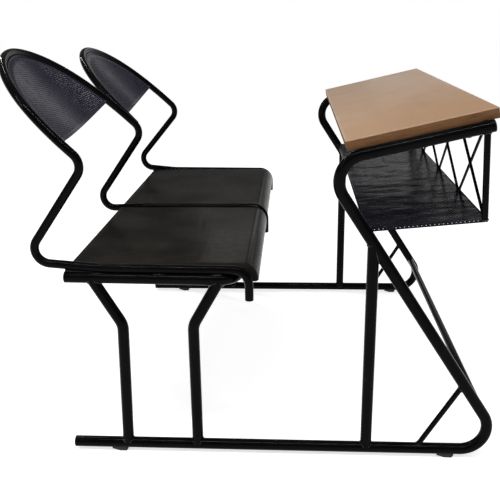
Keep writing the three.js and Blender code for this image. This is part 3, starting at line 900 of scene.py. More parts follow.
@dataclass(frozen=True)
class Laminate(Finish):
    """The light brown face of the board, with a faint wood figure, and edges painted lighter,
    partly as wear and partly as a painted highlight.
    """

    base: tuple = (0.375, 0.226, 0.127, 1.0)
    pale: tuple = (0.395, 0.241, 0.137, 1.0)
    pore: tuple = (0.285, 0.165, 0.090, 1.0)
    # The lighter colour of the edges: partly wear, partly a painted highlight.
    rubbed: tuple = (0.56, 0.42, 0.31, 1.0)
    depth: float = 0.3065
    half_length: float = 0.508

    def make(self) -> bpy.types.Material:
        """Builds the laminate from bands, pores, edges painted lighter as wear and as a painted
        highlight, and a fine emboss.
        """
        n = Nodes(self.name)
        inverse = LAYOUT.board_matrix().inverted()
        place = {"Rotation": tuple(inverse.to_euler()), "Location": tuple(inverse.translation * MM)}
        turned = n.add("ShaderNodeMapping", {"Vector": n.object, **place}).outputs[0]
        along = n.add("ShaderNodeMapping", {"Vector": turned, "Scale": (24.0, 2.2, 1.0)})
        bands = n.noise(1.0, 5.0, 0.55, along.outputs[0])
        fine = n.add("ShaderNodeMapping", {"Vector": turned, "Scale": (620.0, 34.0, 1.0)})
        pores = n.spread(n.noise(1.0, 3.0, 0.5, fine.outputs[0]), 0.56, 0.72, 0.0, 0.55)
        figure = n.blend(n.spread(bands, 0.3, 0.7), self.base, self.pale)
        cloudy = n.blend(n.spread(n.noise(5.0, 3.0), 0.3, 0.7, 0.0, 0.2), figure, self.base)
        grain = n.blend(n.math("MULTIPLY", pores, 0.55), cloudy, self.pore)
        parts = n.add("ShaderNodeSeparateXYZ", {0: turned}).outputs
        middle = n.math("ABSOLUTE", n.math("SUBTRACT", parts[0], self.depth / 2))
        across = n.math("SUBTRACT", self.depth / 2, middle)
        length = n.math("SUBTRACT", self.half_length, n.math("ABSOLUTE", parts[1]))
        # Lighter near the top's edges: partly wear, and partly a painted highlight along the eased
        # edges.
        edge = n.spread(n.math("MINIMUM", across, length), 0.0008, 0.007, 1.0, 0.0)
        worn_highlit_edge_mask = n.math("MULTIPLY", edge, n.spread(n.noise(90.0, 4.0), 0.35, 0.65, 0.15, 1.0))
        worn_and_highlit_edges = n.blend(n.math("MULTIPLY", worn_highlit_edge_mask, 0.5), grain, self.rubbed)
        sheen = n.spread(n.noise(14.0, 4.0), 0.3, 0.7, 0.38, 0.45)
        skin = n.bump(n.noise(1500.0, 2.0), 0.00005, n.bump(pores, 0.00006))
        return n.wear(
            Base_Color=worn_and_highlit_edges, Roughness=sheen, Normal=skin, Specular_IOR_Level=0.32
        )


@dataclass(frozen=True)
class SawnEdge(Finish):
    """The darker brown core of the board, painted near black underneath as painted shade."""

    dark: tuple = (0.13, 0.060, 0.026, 1.0)
    light: tuple = (0.22, 0.106, 0.047, 1.0)
    fleck: tuple = (0.24, 0.14, 0.075, 1.0)
    underside_shade_dark: tuple = (0.016, 0.016, 0.019, 1.0)
    underside_shade_light: tuple = (0.026, 0.026, 0.03, 1.0)

    def make(self) -> bpy.types.Material:
        """Builds the core from layers of fibre, flecks, painted shade underneath and a coarse
        grain.
        """
        n = Nodes(self.name)
        layers = n.noise(1.0, 4.0, 0.6, n.stretched((30.0, 30.0, 420.0), (0, 0.217, 0)))
        flecks = n.spread(n.noise(430.0, 3.0, 0.6), 0.5, 0.7, 0.0, 0.3)
        body = n.blend(n.spread(layers, 0.3, 0.7), self.dark, self.light)
        flecked = n.blend(flecks, body, self.fleck)
        # Faces that look down are painted near black: painted shade under the board.
        smudge = n.spread(n.noise(22.0, 4.0), 0.35, 0.65)
        underside_shade = n.blend(smudge, self.underside_shade_dark, self.underside_shade_light)
        shaded_underneath = n.blend(n.spread(n.upward(), -0.9, -0.7, 1.0, 0.0), flecked, underside_shade)
        skin = n.bump(n.noise(600.0, 4.0), 0.0003)
        rough = n.spread(n.noise(60.0), 0.3, 0.7, 0.6, 0.8)
        return n.wear(Base_Color=shaded_underneath, Roughness=rough, Normal=skin, Specular_IOR_Level=0.1)


@dataclass(frozen=True)
class Moulded(Finish):
    """Black moulded plastic or rubber."""

    colour: tuple = (0.014, 0.014, 0.014, 1.0)
    worn: tuple = (0.05, 0.049, 0.047, 1.0)
    rough: float = 0.5

    def make(self) -> bpy.types.Material:
        """Builds the plastic from a tint, rubbed spots and a fine texture."""
        n = Nodes(self.name)
        rubbed = n.spread(n.noise(120.0, 5.0), 0.5, 0.7, 0.0, 0.5)
        tone = n.blend(rubbed, self.colour, self.worn)
        rough = n.spread(n.noise(80.0), 0.3, 0.7, self.rough, self.rough + 0.2)
        skin = n.bump(n.noise(2200.0, 2.0), 0.00008)
        return n.wear(Base_Color=tone, Roughness=rough, Normal=skin, Specular_IOR_Level=0.35)


@dataclass(frozen=True)
class BlackSteel(Finish):
    """Blackened steel of the screws."""

    dark: tuple = (0.03, 0.03, 0.03, 1.0)
    light: tuple = (0.09, 0.088, 0.085, 1.0)

    def make(self) -> bpy.types.Material:
        """Builds the steel from a tint and brushed gloss."""
        n = Nodes(self.name)
        tone = n.blend(n.noise(300.0, 4.0), self.dark, self.light)
        rough = n.spread(n.noise(500.0), 0.3, 0.7, 0.25, 0.45)
        skin = n.bump(n.noise(1800.0), 0.00004)
        return n.wear(Base_Color=tone, Roughness=rough, Normal=skin, Metallic=1.0)


TUBE_PAINT = Paint("tube_paint")
WELD_PAINT = Paint("weld_paint", specular=0.3, peel_scale=650.0, peel_depth=0.0003)
SEAT_PAINT = Paint(
    "seat_paint",
    dark=(0.0085, 0.0079, 0.0066, 1.0),
    light=(0.0175, 0.0163, 0.0138, 1.0),
    dust_share=0.03,
    scuff_share=0.04,
    rough_low=0.15,
    rough_high=0.24,
    specular=0.013,
    peel_depth=0.00002,
    dent_scales=(22.0, 3.0, 30.0),
    dent_depth=0.0011,
)
BACK_PAINT = Paint(
    "back_paint",
    dark=(0.0178, 0.0170, 0.0285, 1.0),
    light=(0.0282, 0.0266, 0.0425, 1.0),
    dust_share=0.04,
    scuff_share=0.06,
    rough_low=0.16,
    rough_high=0.26,
    specular=0.039,
    peel_depth=0.00005,
)
SHELF_PAINT = Paint(
    "shelf_paint",
    dark=(0.0055, 0.0056, 0.009, 1.0),
    light=(0.0115, 0.0116, 0.0175, 1.0),
    dust_share=0.05,
    scuff_share=0.06,
    rough_low=0.15,
    rough_high=0.28,
    specular=0.023,
    peel_depth=0.00005,
    dent_scales=(17.0, 25.0, 4.0),
    dent_depth=0.0024,
)
# Cut edges and hole walls are painted a lighter grey than the sheets: a painted highlight for the
# glints at the holes' rims.
CUT_EDGE_HIGHLIGHT_PAINT = Paint(
    "cut_edge_highlight_paint",
    dark=(0.03, 0.03, 0.032, 1.0),
    light=(0.085, 0.084, 0.088, 1.0),
    rough_low=0.2,
    rough_high=0.35,
    specular=0.25,
)
BOARD_FACE = Laminate("board_face")
BOARD_CORE = SawnEdge("board_core")
PLUG_PLASTIC = Moulded("plug_plastic")
GLIDE_RUBBER = Moulded("glide_rubber", rough=0.7)
SCREW_STEEL = BlackSteel("screw_steel")


# Welds


def joint_ring(main: Bar, branch: Bar, steps: int = 44) -> list[Vector]:
    """The seam where the skin of a branch meets the skin of a main tube.

    Args:
        main: The tube that goes on.
        branch: The tube that ends on it, from its far end to the joint.
        steps: The number of points.

    Returns:
        The points of the seam, which is a closed ring.
    """
    along = branch.direction
    side = along.orthogonal().normalized()
    other = along.cross(side)
    axis = main.direction
    flat = along - axis * along.dot(axis)
    ring = []
    for i in range(steps):
        angle = 2 * math.pi * i / steps
        start = branch.start + (side * math.cos(angle) + other * math.sin(angle)) * branch.radius
        offset = start - main.start
        offset -= axis * offset.dot(axis)
        half = offset.dot(flat)
        inside = max(half * half - flat.dot(flat) * (offset.dot(offset) - main.radius**2), 0.0)
        ring.append(start + along * ((-half - math.sqrt(inside)) / flat.dot(flat)))
    return ring


def seam(main: Bar, branch: Bar, radius: float = 2.0, ripple: float = 0.28) -> Stroke:
    """A bead round the joint of two tubes, kept within the width of the frame."""
    ring = joint_ring(main, branch)
    limit = LAYOUT.side_y + LAYOUT.frame_d / 2 - radius * (1 + ripple)
    for spot in ring:
        spot.y = min(max(spot.y, -limit), limit)
    return Stroke(ring, radius, closed=True, ripple=ripple)


def foot_seam(bar: Bar, up: Vector, radius: float = 1.6, steps: int = 20) -> Stroke:
    """A bead round the foot of a bar that stands on a flat sheet.

    Args:
        bar: The bar, from its far end to its foot.
        up: The sheet's direction.
        radius: The bead's radius.
        steps: The number of points.

    Returns:
        The bead.
    """
    side = up.orthogonal().normalized()
    other = up.cross(side)
    ring = []
    for i in range(steps):
        angle = 2 * math.pi * i / steps
        ring.append(bar.end + (side * math.cos(angle) + other * math.sin(angle)) * bar.radius)
    return Stroke(ring, radius, closed=True, ripple=0.2)


def stitch(
    middle: Vector, along: Vector, length: float, radius: float = 2.2, steps: int = 12
) -> Stroke:
    """A short straight bead."""
    line = [middle + along * (length * (i / steps - 0.5)) for i in range(steps + 1)]
    return Stroke(line, radius, ripple=0.25, taper=True)


@dataclass(frozen=True)
class Welds:
    """The beads of one sub-assembly, kept as one piece."""

    name: str
    strokes: Sequence[Stroke]

    def build(self) -> None:
        """Draws the beads and paints them."""
        piece = Bench.drawn(self.strokes, ring=1)
        Bench.smooth(piece, BEAD_EDGE)
        Dressing(self.name, WELD_PAINT, Slot.FRAME).put_on(piece)


# Sub-assemblies


@dataclass(frozen=True)
class Tubing:
    """One tube or rod of the frame."""

    node: str
    line: Sequence[Vector]
    diameter: float
    ring: int = 10

    def build(self) -> None:
        """Draws the tube and paints it."""
        piece = Bench.drawn([Stroke(self.line, self.diameter / 2)], self.ring)
        Bench.smooth(piece)
        Dressing(f"{self.node}_painted", TUBE_PAINT, Slot.FRAME, (self.node,)).put_on(piece)


@dataclass(frozen=True)
class EndPlug:
    """A domed plastic plug in the open end of a tube."""

    node: str
    line: Sequence[Vector]
    diameter: float
    dome: float = 3.4
    rim: float = 1.1
    slack: float = 0.1
    stand: float = 0.3
    rings: int = 5
    tip: float = 0.08

    def build(self) -> None:
        """Raises a dome from a flat disc, ring by ring, and sets it on the tube's end."""
        out = (self.line[-1] - self.line[-2]).normalized()
        Bench.clear()
        bpy.ops.mesh.primitive_cylinder_add(
            vertices=32,
            radius=self.diameter / 2 - self.slack,
            depth=self.rim,
            location=(0, 0, self.rim / 2 + self.stand),
        )
        piece = bpy.context.object
        Bench.pick_faces(piece, lambda face: face.normal.z > CAP_UP)
        angles = [i / self.rings * math.pi / 2 for i in range(self.rings + 1)]
        with Bench.editing(everything=False):
            for low, high in zip(angles, angles[1:]):
                rise = (self.dome - self.rim) * (math.sin(high) - math.sin(low))
                shrink = max(math.cos(high) / math.cos(low), self.tip)
                bpy.ops.mesh.extrude_region_move(TRANSFORM_OT_translate={"value": (0, 0, rise)})
                bpy.ops.transform.resize(value=(shrink, shrink, 1))
            bpy.ops.mesh.select_mode(type="VERT")
        placed = Matrix.Translation(piece.location)
        spot = Matrix.Translation(to_frame(self.line[-1]))
        piece.data.transform(spot @ turned_to(out) @ Matrix.Diagonal((MM, MM, MM, 1)) @ placed)
        piece.location = (0, 0, 0)
        Bench.smooth(piece, ROLLED_EDGE)
        Dressing(f"{self.node}_moulded", PLUG_PLASTIC, Slot.PLUG, (self.node,)).put_on(piece)


@dataclass(frozen=True)
class Glide:
    """A tapered rubber foot under a skid."""

    node: str
    x: float
    y: float
    drop: float = 6.0
    tail: float = 26.0
    nose: float = 12.0
    flat: float = 16.0
    width: float = 19.0
    step: float = 0.3
    buried: float = 1.0
    ease: float = 1.4
    ease_above: float = 12.0

    def build(self) -> None:
        """Draws the side view as a face, gives it its width and rounds its edges."""
        skid_low = -LAYOUT.frame_d / 2
        low, high = skid_low - self.drop, -LAYOUT.frame_d / 4 - self.buried
        outline = [
            (-self.tail, high),
            (-self.tail, skid_low - self.step),
            (-self.flat / 2, low),
            (self.flat / 2, low),
            (self.nose, skid_low),
            (self.nose, high),
        ]
        Bench.clear()
        bpy.ops.mesh.primitive_circle_add(vertices=6, fill_type="NGON", location=(0, 0, 0))
        piece = bpy.context.object
        for vertex, (along, up) in zip(piece.data.vertices, outline):
            vertex.co = Vector((self.x + along, self.y - self.width / 2, up))
        with Bench.editing():
            bpy.ops.mesh.extrude_region_move(TRANSFORM_OT_translate={"value": (0, self.width, 0)})
            bpy.ops.mesh.select_all(action="SELECT")
            bpy.ops.mesh.normals_make_consistent(inside=False)
        for vertex in piece.data.vertices:
            vertex.co = to_frame(vertex.co)
        Bench.round_edges(piece, self.ease, self.ease_above)
        Bench.smooth(piece, SHEET_EDGE)
        Dressing(f"{self.node}_moulded", GLIDE_RUBBER, Slot.GLIDE, (self.node,)).put_on(piece)


@dataclass(frozen=True)
class SideFrame:
    """One side of the frame: bent side tube, desk post, brace and two chair legs."""

    side: Side
    rear_foot_x: float = -260.0
    rear_knee_x: float = -252.5
    front_foot_x: float = -95.5
    front_knee_x: float = -95.0
    rear_glide_x: float = -272.0
    front_glide_x: float = 480.0
    brace_bead: float = 1.7
    stitch_xs: tuple = (-300.0, -165.0, -40.0)
    stitch_sink: float = 0.6
    fill_r: float = 1.6
    fill_ripple: float = 0.12
    fill_growth: float = 2.6

    @property
    def y(self) -> float:
        """The side's place across the desk."""
        return self.side.value * LAYOUT.side_y

    def legs(self) -> dict[str, list[Vector]]:
        """The corner points of the two chair legs, by name."""
        return {
            "rear": LAYOUT.leg_points(self.y, self.rear_foot_x, self.rear_knee_x, -1),
            "front": LAYOUT.leg_points(self.y, self.front_foot_x, self.front_knee_x, 1),
        }

    def build_tubes(self) -> None:
        """Draws the tubes and rods of this side."""
        word, d = self.side.word, LAYOUT.frame_d
        Tubing(f"{word}_side_tube", LAYOUT.side_line(self.y), d, ring=TUBE_RING).build()
        post, brace = LAYOUT.desk_post(self.y), LAYOUT.brace(self.y)
        Tubing(f"{word}_desk_post", [post.start, post.end], d, ring=TUBE_RING).build()
        Tubing(f"{word}_corner_brace", [brace.start, brace.end], LAYOUT.brace_d).build()
        for name, points in self.legs().items():
            line = LAYOUT.path(points, [LAYOUT.leg_bend_r])
            Tubing(f"{word}_{name}_leg", line, d, ring=TUBE_RING).build()

    def build_ends(self) -> None:
        """Adds the plugs and glides of this side."""
        word, line = self.side.word, LAYOUT.side_line(self.y)
        EndPlug(f"{word}_skid_plug", line[1::-1], LAYOUT.frame_d).build()
        EndPlug(f"{word}_rail_plug", line, LAYOUT.frame_d).build()
        Glide(f"{word}_rear_glide", self.rear_glide_x, self.y).build()
        Glide(f"{word}_front_glide", self.front_glide_x, self.y).build()

    def build_welds(self) -> None:
        """Lays the beads at every joint of this side."""
        y = self.y
        skid, diagonal, rail = LAYOUT.skid(y), LAYOUT.diagonal(y), LAYOUT.seat_rail(y)
        post, brace = LAYOUT.desk_post(y), LAYOUT.brace(y)
        middle = (post.start + post.end) / 2
        beads = [
            seam(skid, Bar(middle, post.start, post.radius)),
            seam(diagonal, Bar(middle, post.end, post.radius)),
            seam(skid, Bar(brace.end, brace.start, brace.radius), self.brace_bead),
            seam(diagonal, Bar(brace.start, brace.end, brace.radius), self.brace_bead),
        ]
        for foot, knee, head in self.legs().values():
            beads.append(seam(skid, Bar(knee, foot, LAYOUT.frame_d / 2)))
            beads.append(seam(rail, Bar(knee, head, LAYOUT.frame_d / 2)))
        beads += self.run_stitches(rail)
        Welds(f"{self.side.word}_side_welds", beads).build()

    def run_stitches(self, rail: Bar, spread: float = 6.0, length: float = 24.0) -> list[Stroke]:
        """Short beads between the seat rail and the chair tube that lies on it.

        Args:
            rail: The seat rail.
            spread: How far each bead lies from the line where the tubes touch.
            length: The length of a bead.

        Returns:
            The beads, two at each place.
        """
        beads = []
        for x in self.stitch_xs:
            z = LAYOUT.seat_rail_z(x) + rail.radius - self.stitch_sink
            for out in (-1, 1):
                spot = Vector((x, self.y + out * spread, z))
                beads.append(stitch(spot, rail.direction, length))
        beads.append(self.end_fill(rail))
        return beads

    def end_fill(
        self, rail: Bar, length: float = 68.0, lift: float = 3.0, curl: float = 1.5, steps: int = 22
    ) -> Stroke:
        """A growing bead where the chair tube leaves the rear end of the seat rail.

        Args:
            rail: The seat rail.
            length: How far the bead runs from the rail's end.
            lift: How high its middle rises above the rail there.
            curl: The power by which it rises.
            steps: The number of stretches that it is drawn in.

        Returns:
            The bead.
        """
        line = []
        for i in range(steps + 1):
            share = i / steps
            x = LAYOUT.seat_frame_rear_x + 1.0 + length * (1 - share)
            z = LAYOUT.seat_rail_z(x) + rail.radius + lift * share**curl
            line.append(Vector((x, self.y, z)))
        return Stroke(line, self.fill_r, ripple=self.fill_ripple, growth=self.fill_growth)

    def build(self) -> None:
        """Builds the whole side."""
        self.build_tubes()
        self.build_ends()
        self.build_welds()


@dataclass(frozen=True)
class CrossMembers:
    """The tubes that join the two sides."""

    def build(self) -> None:
        """Draws the seat frame and the cross tubes, with their plugs and beads."""
        line = LAYOUT.seat_frame_line()
        Tubing("seat_frame_tube", line, LAYOUT.frame_d, ring=TUBE_RING).build()
        EndPlug("right_seat_frame_plug", line[1::-1], LAYOUT.frame_d).build()
        EndPlug("left_seat_frame_plug", line, LAYOUT.frame_d).build()
        crosses = {
            "seat_cross_tube": LAYOUT.seat_cross(),
            "low_cross_tube": LAYOUT.low_cross(),
            "desk_front_cross_tube": LAYOUT.front_cross(),
        }
        for node, bar in crosses.items():
            Tubing(node, [bar.start, bar.end], LAYOUT.cross_d).build()
        beads = []
        for side in Side:
            y = side.value * LAYOUT.side_y
            mains = LAYOUT.seat_rail(y), LAYOUT.diagonal(y), LAYOUT.desk_rail(y)
            for main, bar in zip(mains, crosses.values()):
                centre = (bar.start + bar.end) / 2
                end = bar.end if side is Side.LEFT else bar.start
                beads.append(seam(main, Bar(centre, end, bar.radius)))
        Welds("cross_tube_welds", beads).build()


@dataclass(frozen=True)
class ChairTubes:
    """The bent tubes of the two chairs.

    A bead is given by its length and radius. The places of the two hoop beads and of the bead at
    the left hoop's foot are across the desk and up the leaning plane, as in Layout.leaning.
    """

    dome: float = 2.8
    hoop_bead_at: tuple = (6.5, 47.0)
    hoop_bead_share: float = 0.36
    hoop_bead: tuple = (42.0, 2.4)
    foot_bead_at: tuple = (5.0, 25.0, -4.0)
    foot_bead: tuple = (15.0, 3.4)
    run_bead_ys: tuple = (-4.0, 0.0, 4.0)
    run_bead_length: float = 16.0
    run_bead_extra: float = 0.9
    nose_bead_from: float = 2.0
    nose_bead_step: float = 2.6
    nose_bead_points: int = 19

    def build(self) -> None:
        """Draws both tubes, their plugs and the beads of the middle upright."""
        right, left = LAYOUT.right_chair_line(), LAYOUT.left_chair_line()
        Tubing("right_chair_tube", right, LAYOUT.chair_d, ring=TUBE_RING).build()
        Tubing("left_chair_tube", left, LAYOUT.chair_d, ring=TUBE_RING).build()
        EndPlug("right_stub_plug", right[1::-1], LAYOUT.chair_d, self.dome).build()
        EndPlug("middle_stub_plug", right, LAYOUT.chair_d, self.dome).build()
        EndPlug("left_stub_plug", left, LAYOUT.chair_d, self.dome).build()
        self.build_welds(left)

    def build_welds(self, left: Sequence[Vector]) -> None:
        """Lays the beads where the middle upright meets the seat frame and the left hoop.

        Args:
            left: The left chair's centre line.
        """
        beads = []
        up = (left[1] - left[0]).normalized()
        for out in (-1, 1):
            behind = -out * LAYOUT.chair_d * self.hoop_bead_share
            middle = LAYOUT.leaning(*self.hoop_bead_at, behind)
            beads.append(stitch(middle, up, *self.hoop_bead))
        foot = LAYOUT.leaning(*self.foot_bead_at)
        beads.append(stitch(foot, Vector((0, 1, 0)), *self.foot_bead))
        lift = LAYOUT.middle_proud / 2
        forward, radius = Vector((1, 0, 0)), lift + self.run_bead_extra
        for x in (LAYOUT.seat_frame_front_x, LAYOUT.seat_cross_x):
            z = LAYOUT.seat_frame_z + LAYOUT.frame_d / 2 + lift
            for y in self.run_bead_ys:
                beads.append(stitch(Vector((x, y, z)), forward, self.run_bead_length, radius))
        beads += self.nose_beads()
        Welds("middle_tube_welds", beads).build()

    def nose_beads(
        self, inset: float = 9.3, radius: float = 2.6, lift: float = 3.0
    ) -> list[Stroke]:
        """Beads on both sides of the middle tube, where it turns down over the seats' noses.

        Args:
            inset: How far the beads lie from the tube's middle.
            radius: The beads' radius.
            lift: How far they lie outside the bend's centre line.

        Returns:
            The beads.
        """
        degrees = (
            self.nose_bead_from + self.nose_bead_step * i for i in range(self.nose_bead_points)
        )
        angles = [math.radians(angle) for angle in degrees]
        bend_x = LAYOUT.stub_x + LAYOUT.middle_stub_step - LAYOUT.stub_bend_r
        bend_z = LAYOUT.run_z + LAYOUT.middle_proud - LAYOUT.stub_bend_r
        reach = LAYOUT.stub_bend_r + lift
        beads = []
        for out in (-1, 1):
            line = []
            for angle in angles:
                x, z = bend_x + reach * math.sin(angle), bend_z + reach * math.cos(angle)
                line.append(Vector((x, out * inset, z)))
            beads.append(Stroke(line, radius, ripple=0.3, taper=True))
        return beads


@dataclass(frozen=True)
class Perforation:
    """A sheet with round holes in staggered rows, made flat and in mm."""

    pitch: float
    hole_r: float
    weld_within: float = 0.02

    def flat(self, low: Vector, high: Vector) -> bpy.types.Object:
        """Makes one cell with its hole, repeats it over a rectangle and joins the cells.

        Args:
            low: The rectangle's lowest corner.
            high: The rectangle's highest corner.

        Returns:
            The flat sheet, with its cells just past the rectangle's edges.
        """
        cell_r = self.pitch / math.sqrt(3)
        row = self.pitch * math.sqrt(3) / 2
        columns = math.ceil((high.x - low.x) / self.pitch) + 2
        pairs = math.ceil((high.y - low.y) / (2 * row)) + 1
        Bench.clear()
        bpy.ops.mesh.primitive_circle_add(
            vertices=6, radius=cell_r, fill_type="NGON", location=(0, 0, 0)
        )
        piece = bpy.context.object
        with Bench.editing():
            bpy.ops.mesh.inset(thickness=(cell_r - self.hole_r) * math.cos(math.pi / 6))
            bpy.ops.mesh.delete(type="FACE")
        steps = (
            (columns, (self.pitch, 0.0, 0.0)),
            (2, (self.pitch / 2, row, 0.0)),
            (pairs, (0.0, 2 * row, 0.0)),
        )
        for count, step in steps:
            spread = {"use_relative_offset": False, "use_constant_offset": True}
            Bench.modify(piece, "ARRAY", count=count, **spread, constant_offset_displace=step)
        with Bench.editing():
            bpy.ops.mesh.remove_doubles(threshold=self.weld_within)
        piece.data.transform(Matrix.Translation((low.x - self.pitch / 2, low.y, 0)))
        return piece


def bent(piece: bpy.types.Object, where: Callable[[float, float], Vector]) -> None:
    """Moves each point of a flat sheet, given in mm, to its place in metres.

    Args:
        piece: The flat sheet.
        where: Gives the place of a flat point.
    """
    for vertex in piece.data.vertices:
        vertex.co = where(vertex.co.x, vertex.co.y)
    piece.data.update()


@dataclass(frozen=True)
class BackPanel:
    """A dished perforated sheet inside one hoop, with a folded low edge."""

    side: Side
    low_edge: float = 91.0
    slant: float = 29.0
    dish: float = 24.0
    rim: float = 0.2
    roll_r: float = 3.6
    sheet: float = 1.25
    hem_width: float = 9.0
    hem_thick: float = 3.2
    hem_columns: int = 60
    hem_shift: float = 0.4
    rim_ring: int = 3
    tuck: float = 3.5
    fill: float = 0.985
    tacks: int = 9
    tack_start: float = math.radians(24)
    tack_in: float = 8.2
    tack_back: float = 2.6
    tack_ahead: float = 0.01
    tack: tuple = (15.0, 1.9)
    holes: Perforation = Perforation(6.0, 1.75)
    hem_profile: tuple = (
        (-0.5, 0.0),
        (-0.42, 0.42),
        (0.3, 0.5),
        (0.5, 0.35),
        (0.5, -0.35),
        (0.3, -0.5),
        (-0.42, -0.42),
    )

    @property
    def hoop(self) -> Hoop:
        """The hoop that holds this panel."""
        return LAYOUT.right_hoop if self.side is Side.RIGHT else LAYOUT.left_hoop

    def reach(self, up: float) -> float:
        """The share of the half width where the hoop is this high."""
        rest = 1 - (up / self.hoop.height) ** LAYOUT.hoop_round_up
        return self.fill * rest ** (1 / LAYOUT.hoop_round_across)

    def depth(self, y: float, up: float) -> float:
        """How far the dish stands behind the hoop's plane."""
        across = (y - self.hoop.centre_y) / self.hoop.half_width
        up_share = max(up / self.hoop.height, 0.0) ** LAYOUT.hoop_round_up
        rest = 1 - up_share - abs(across) ** LAYOUT.hoop_round_across
        return self.dish * max(rest - self.rim, 0.0) / (1 - self.rim)

    def place(self, y: float, up: float, lift: float = 0.0) -> Vector:
        """A place on the dished face.

        Args:
            y: The place across the desk.
            up: The place up the leaning plane.
            lift: How far the place stands in front of the face.

        Returns:
            The place in the CAD frame, in metres.
        """
        return to_frame(LAYOUT.leaning(y, up, self.depth(y, up) - lift))

    def edge_ends(self) -> tuple[Vector, Vector]:
        """The two ends of the low edge, as flat points."""
        ends = []
        for sign in (-1, 1):
            up = self.low_edge + self.slant * sign
            y = self.hoop.centre_y + sign * self.hoop.half_width * self.reach(up)
            ends.append(Vector((y, up, 0)))
        return ends[0], ends[1]

    def inside(self, y: float, up: float) -> bool:
        """Whether a flat point is covered by the hoop or inside it."""
        across = (y - self.hoop.centre_y) / self.hoop.half_width
        high = LAYOUT.arch_height(self.hoop, across)
        side = (1 - abs(across)) * self.hoop.half_width
        return up < high - self.tuck and side > self.tuck

    def build_sheet(self) -> None:
        """Cuts the perforated sheet to the hoop and dishes it."""
        right, left = self.edge_ends()
        low = Vector((self.hoop.centre_y - self.hoop.half_width, min(right.y, left.y), 0))
        high = Vector((self.hoop.centre_y + self.hoop.half_width, self.hoop.height, 0))
        piece = self.holes.flat(low, high)
        down = Vector((left.y - right.y, right.x - left.x, 0))
        Bench.cut(piece, right, down)
        Bench.drop_faces(piece, lambda spot: not self.inside(spot.x, spot.y))
        bent(piece, self.place)
        Bench.thicken(piece, self.sheet, 0.0)
        Bench.smooth(piece, SHEET_EDGE)
        node = f"{self.side.word}_back_panel"
        name = f"{node}_pressed"
        Dressing(name, BACK_PAINT, Slot.SHEET, (node,), CUT_EDGE_HIGHLIGHT_PAINT).put_on(piece)

    def build_hem(self) -> None:
        """Folds a strip round the low edge."""
        right, left = self.edge_ends()
        count = len(self.hem_profile)

        def where(u: float, v: float) -> Vector:
            """A point of the folded strip."""
            spot = right.lerp(left, u)
            up_share, lift_share = self.hem_profile[round(v * count) % count]
            up = spot.y + self.hem_width * (up_share + self.hem_shift)
            return self.place(spot.x, up, self.hem_thick * lift_share)

        piece = Bench.grid(self.hem_columns, count, where)
        with Bench.editing():
            bpy.ops.mesh.remove_doubles(threshold=TINY)
            bpy.ops.mesh.select_all(action="DESELECT")
            bpy.ops.mesh.select_non_manifold()
            bpy.ops.mesh.edge_face_add()
            bpy.ops.mesh.select_all(action="SELECT")
            bpy.ops.mesh.normals_make_consistent(inside=False)
        Bench.smooth(piece, ROLLED_EDGE)
        name = f"{self.side.word}_back_panel_hem"
        Dressing(name, BACK_PAINT, Slot.SHEET).put_on(piece)

    def rim_line(self) -> list[Vector]:
        """The centre line of the rolled rim, just inside the hoop."""
        inward = LAYOUT.chair_d / 2 + self.roll_r - 1.0
        right, left = self.edge_ends()
        line = []
        arch = LAYOUT.hoop_line(self.hoop)
        sin = math.sin(LAYOUT.hoop_lean)
        flat = [(spot.y, (LAYOUT.leaning(spot.y, 0).x - spot.x) / sin) for spot in arch]
        for (y0, up0), (y1, up1), (y2, up2) in zip(flat, flat[1:], flat[2:]):
            length = math.hypot(y2 - y0, up2 - up0)
            y = y1 + (up2 - up0) / length * inward
            up = up1 - (y2 - y0) / length * inward
            share = (y - right.x) / (left.x - right.x)
            if up > right.y + (left.y - right.y) * share:
                line.append(LAYOUT.leaning(y, up, self.depth(y, up)))
        return line

    def build_rim(self) -> None:
        """Rolls the panel's edge along the hoop."""
        piece = Bench.drawn([Stroke(self.rim_line(), self.roll_r)], ring=self.rim_ring)
        Bench.smooth(piece, ROLLED_EDGE)
        name = f"{self.side.word}_back_panel_rim"
        Dressing(name, TUBE_PAINT, Slot.SHEET).put_on(piece)

    def build_tacks(self) -> None:
        """Lays the short beads that hold the sheet in its hoop, on its rear face."""
        beads = []
        middle = LAYOUT.leaning(self.hoop.centre_y, self.hoop.height / 2)
        back = Vector((-math.cos(LAYOUT.hoop_lean), 0, -math.sin(LAYOUT.hoop_lean)))
        sweep = math.pi - 2 * self.tack_start
        for i in range(self.tacks):
            angle = self.tack_start + sweep * i / (self.tacks - 1)
            spot = LAYOUT.hoop_place(self.hoop, angle)
            ahead = LAYOUT.hoop_place(self.hoop, angle + self.tack_ahead)
            along = (ahead - spot).normalized()
            inward = (middle - spot).normalized()
            place = spot + inward * self.tack_in + back * self.tack_back
            beads.append(stitch(place, along, *self.tack))
        Welds(f"{self.side.word}_back_panel_tacks", beads).build()

    def build(self) -> None:
        """Builds the panel."""
        self.build_sheet()
        self.build_hem()
        self.build_rim()
        self.build_tacks()


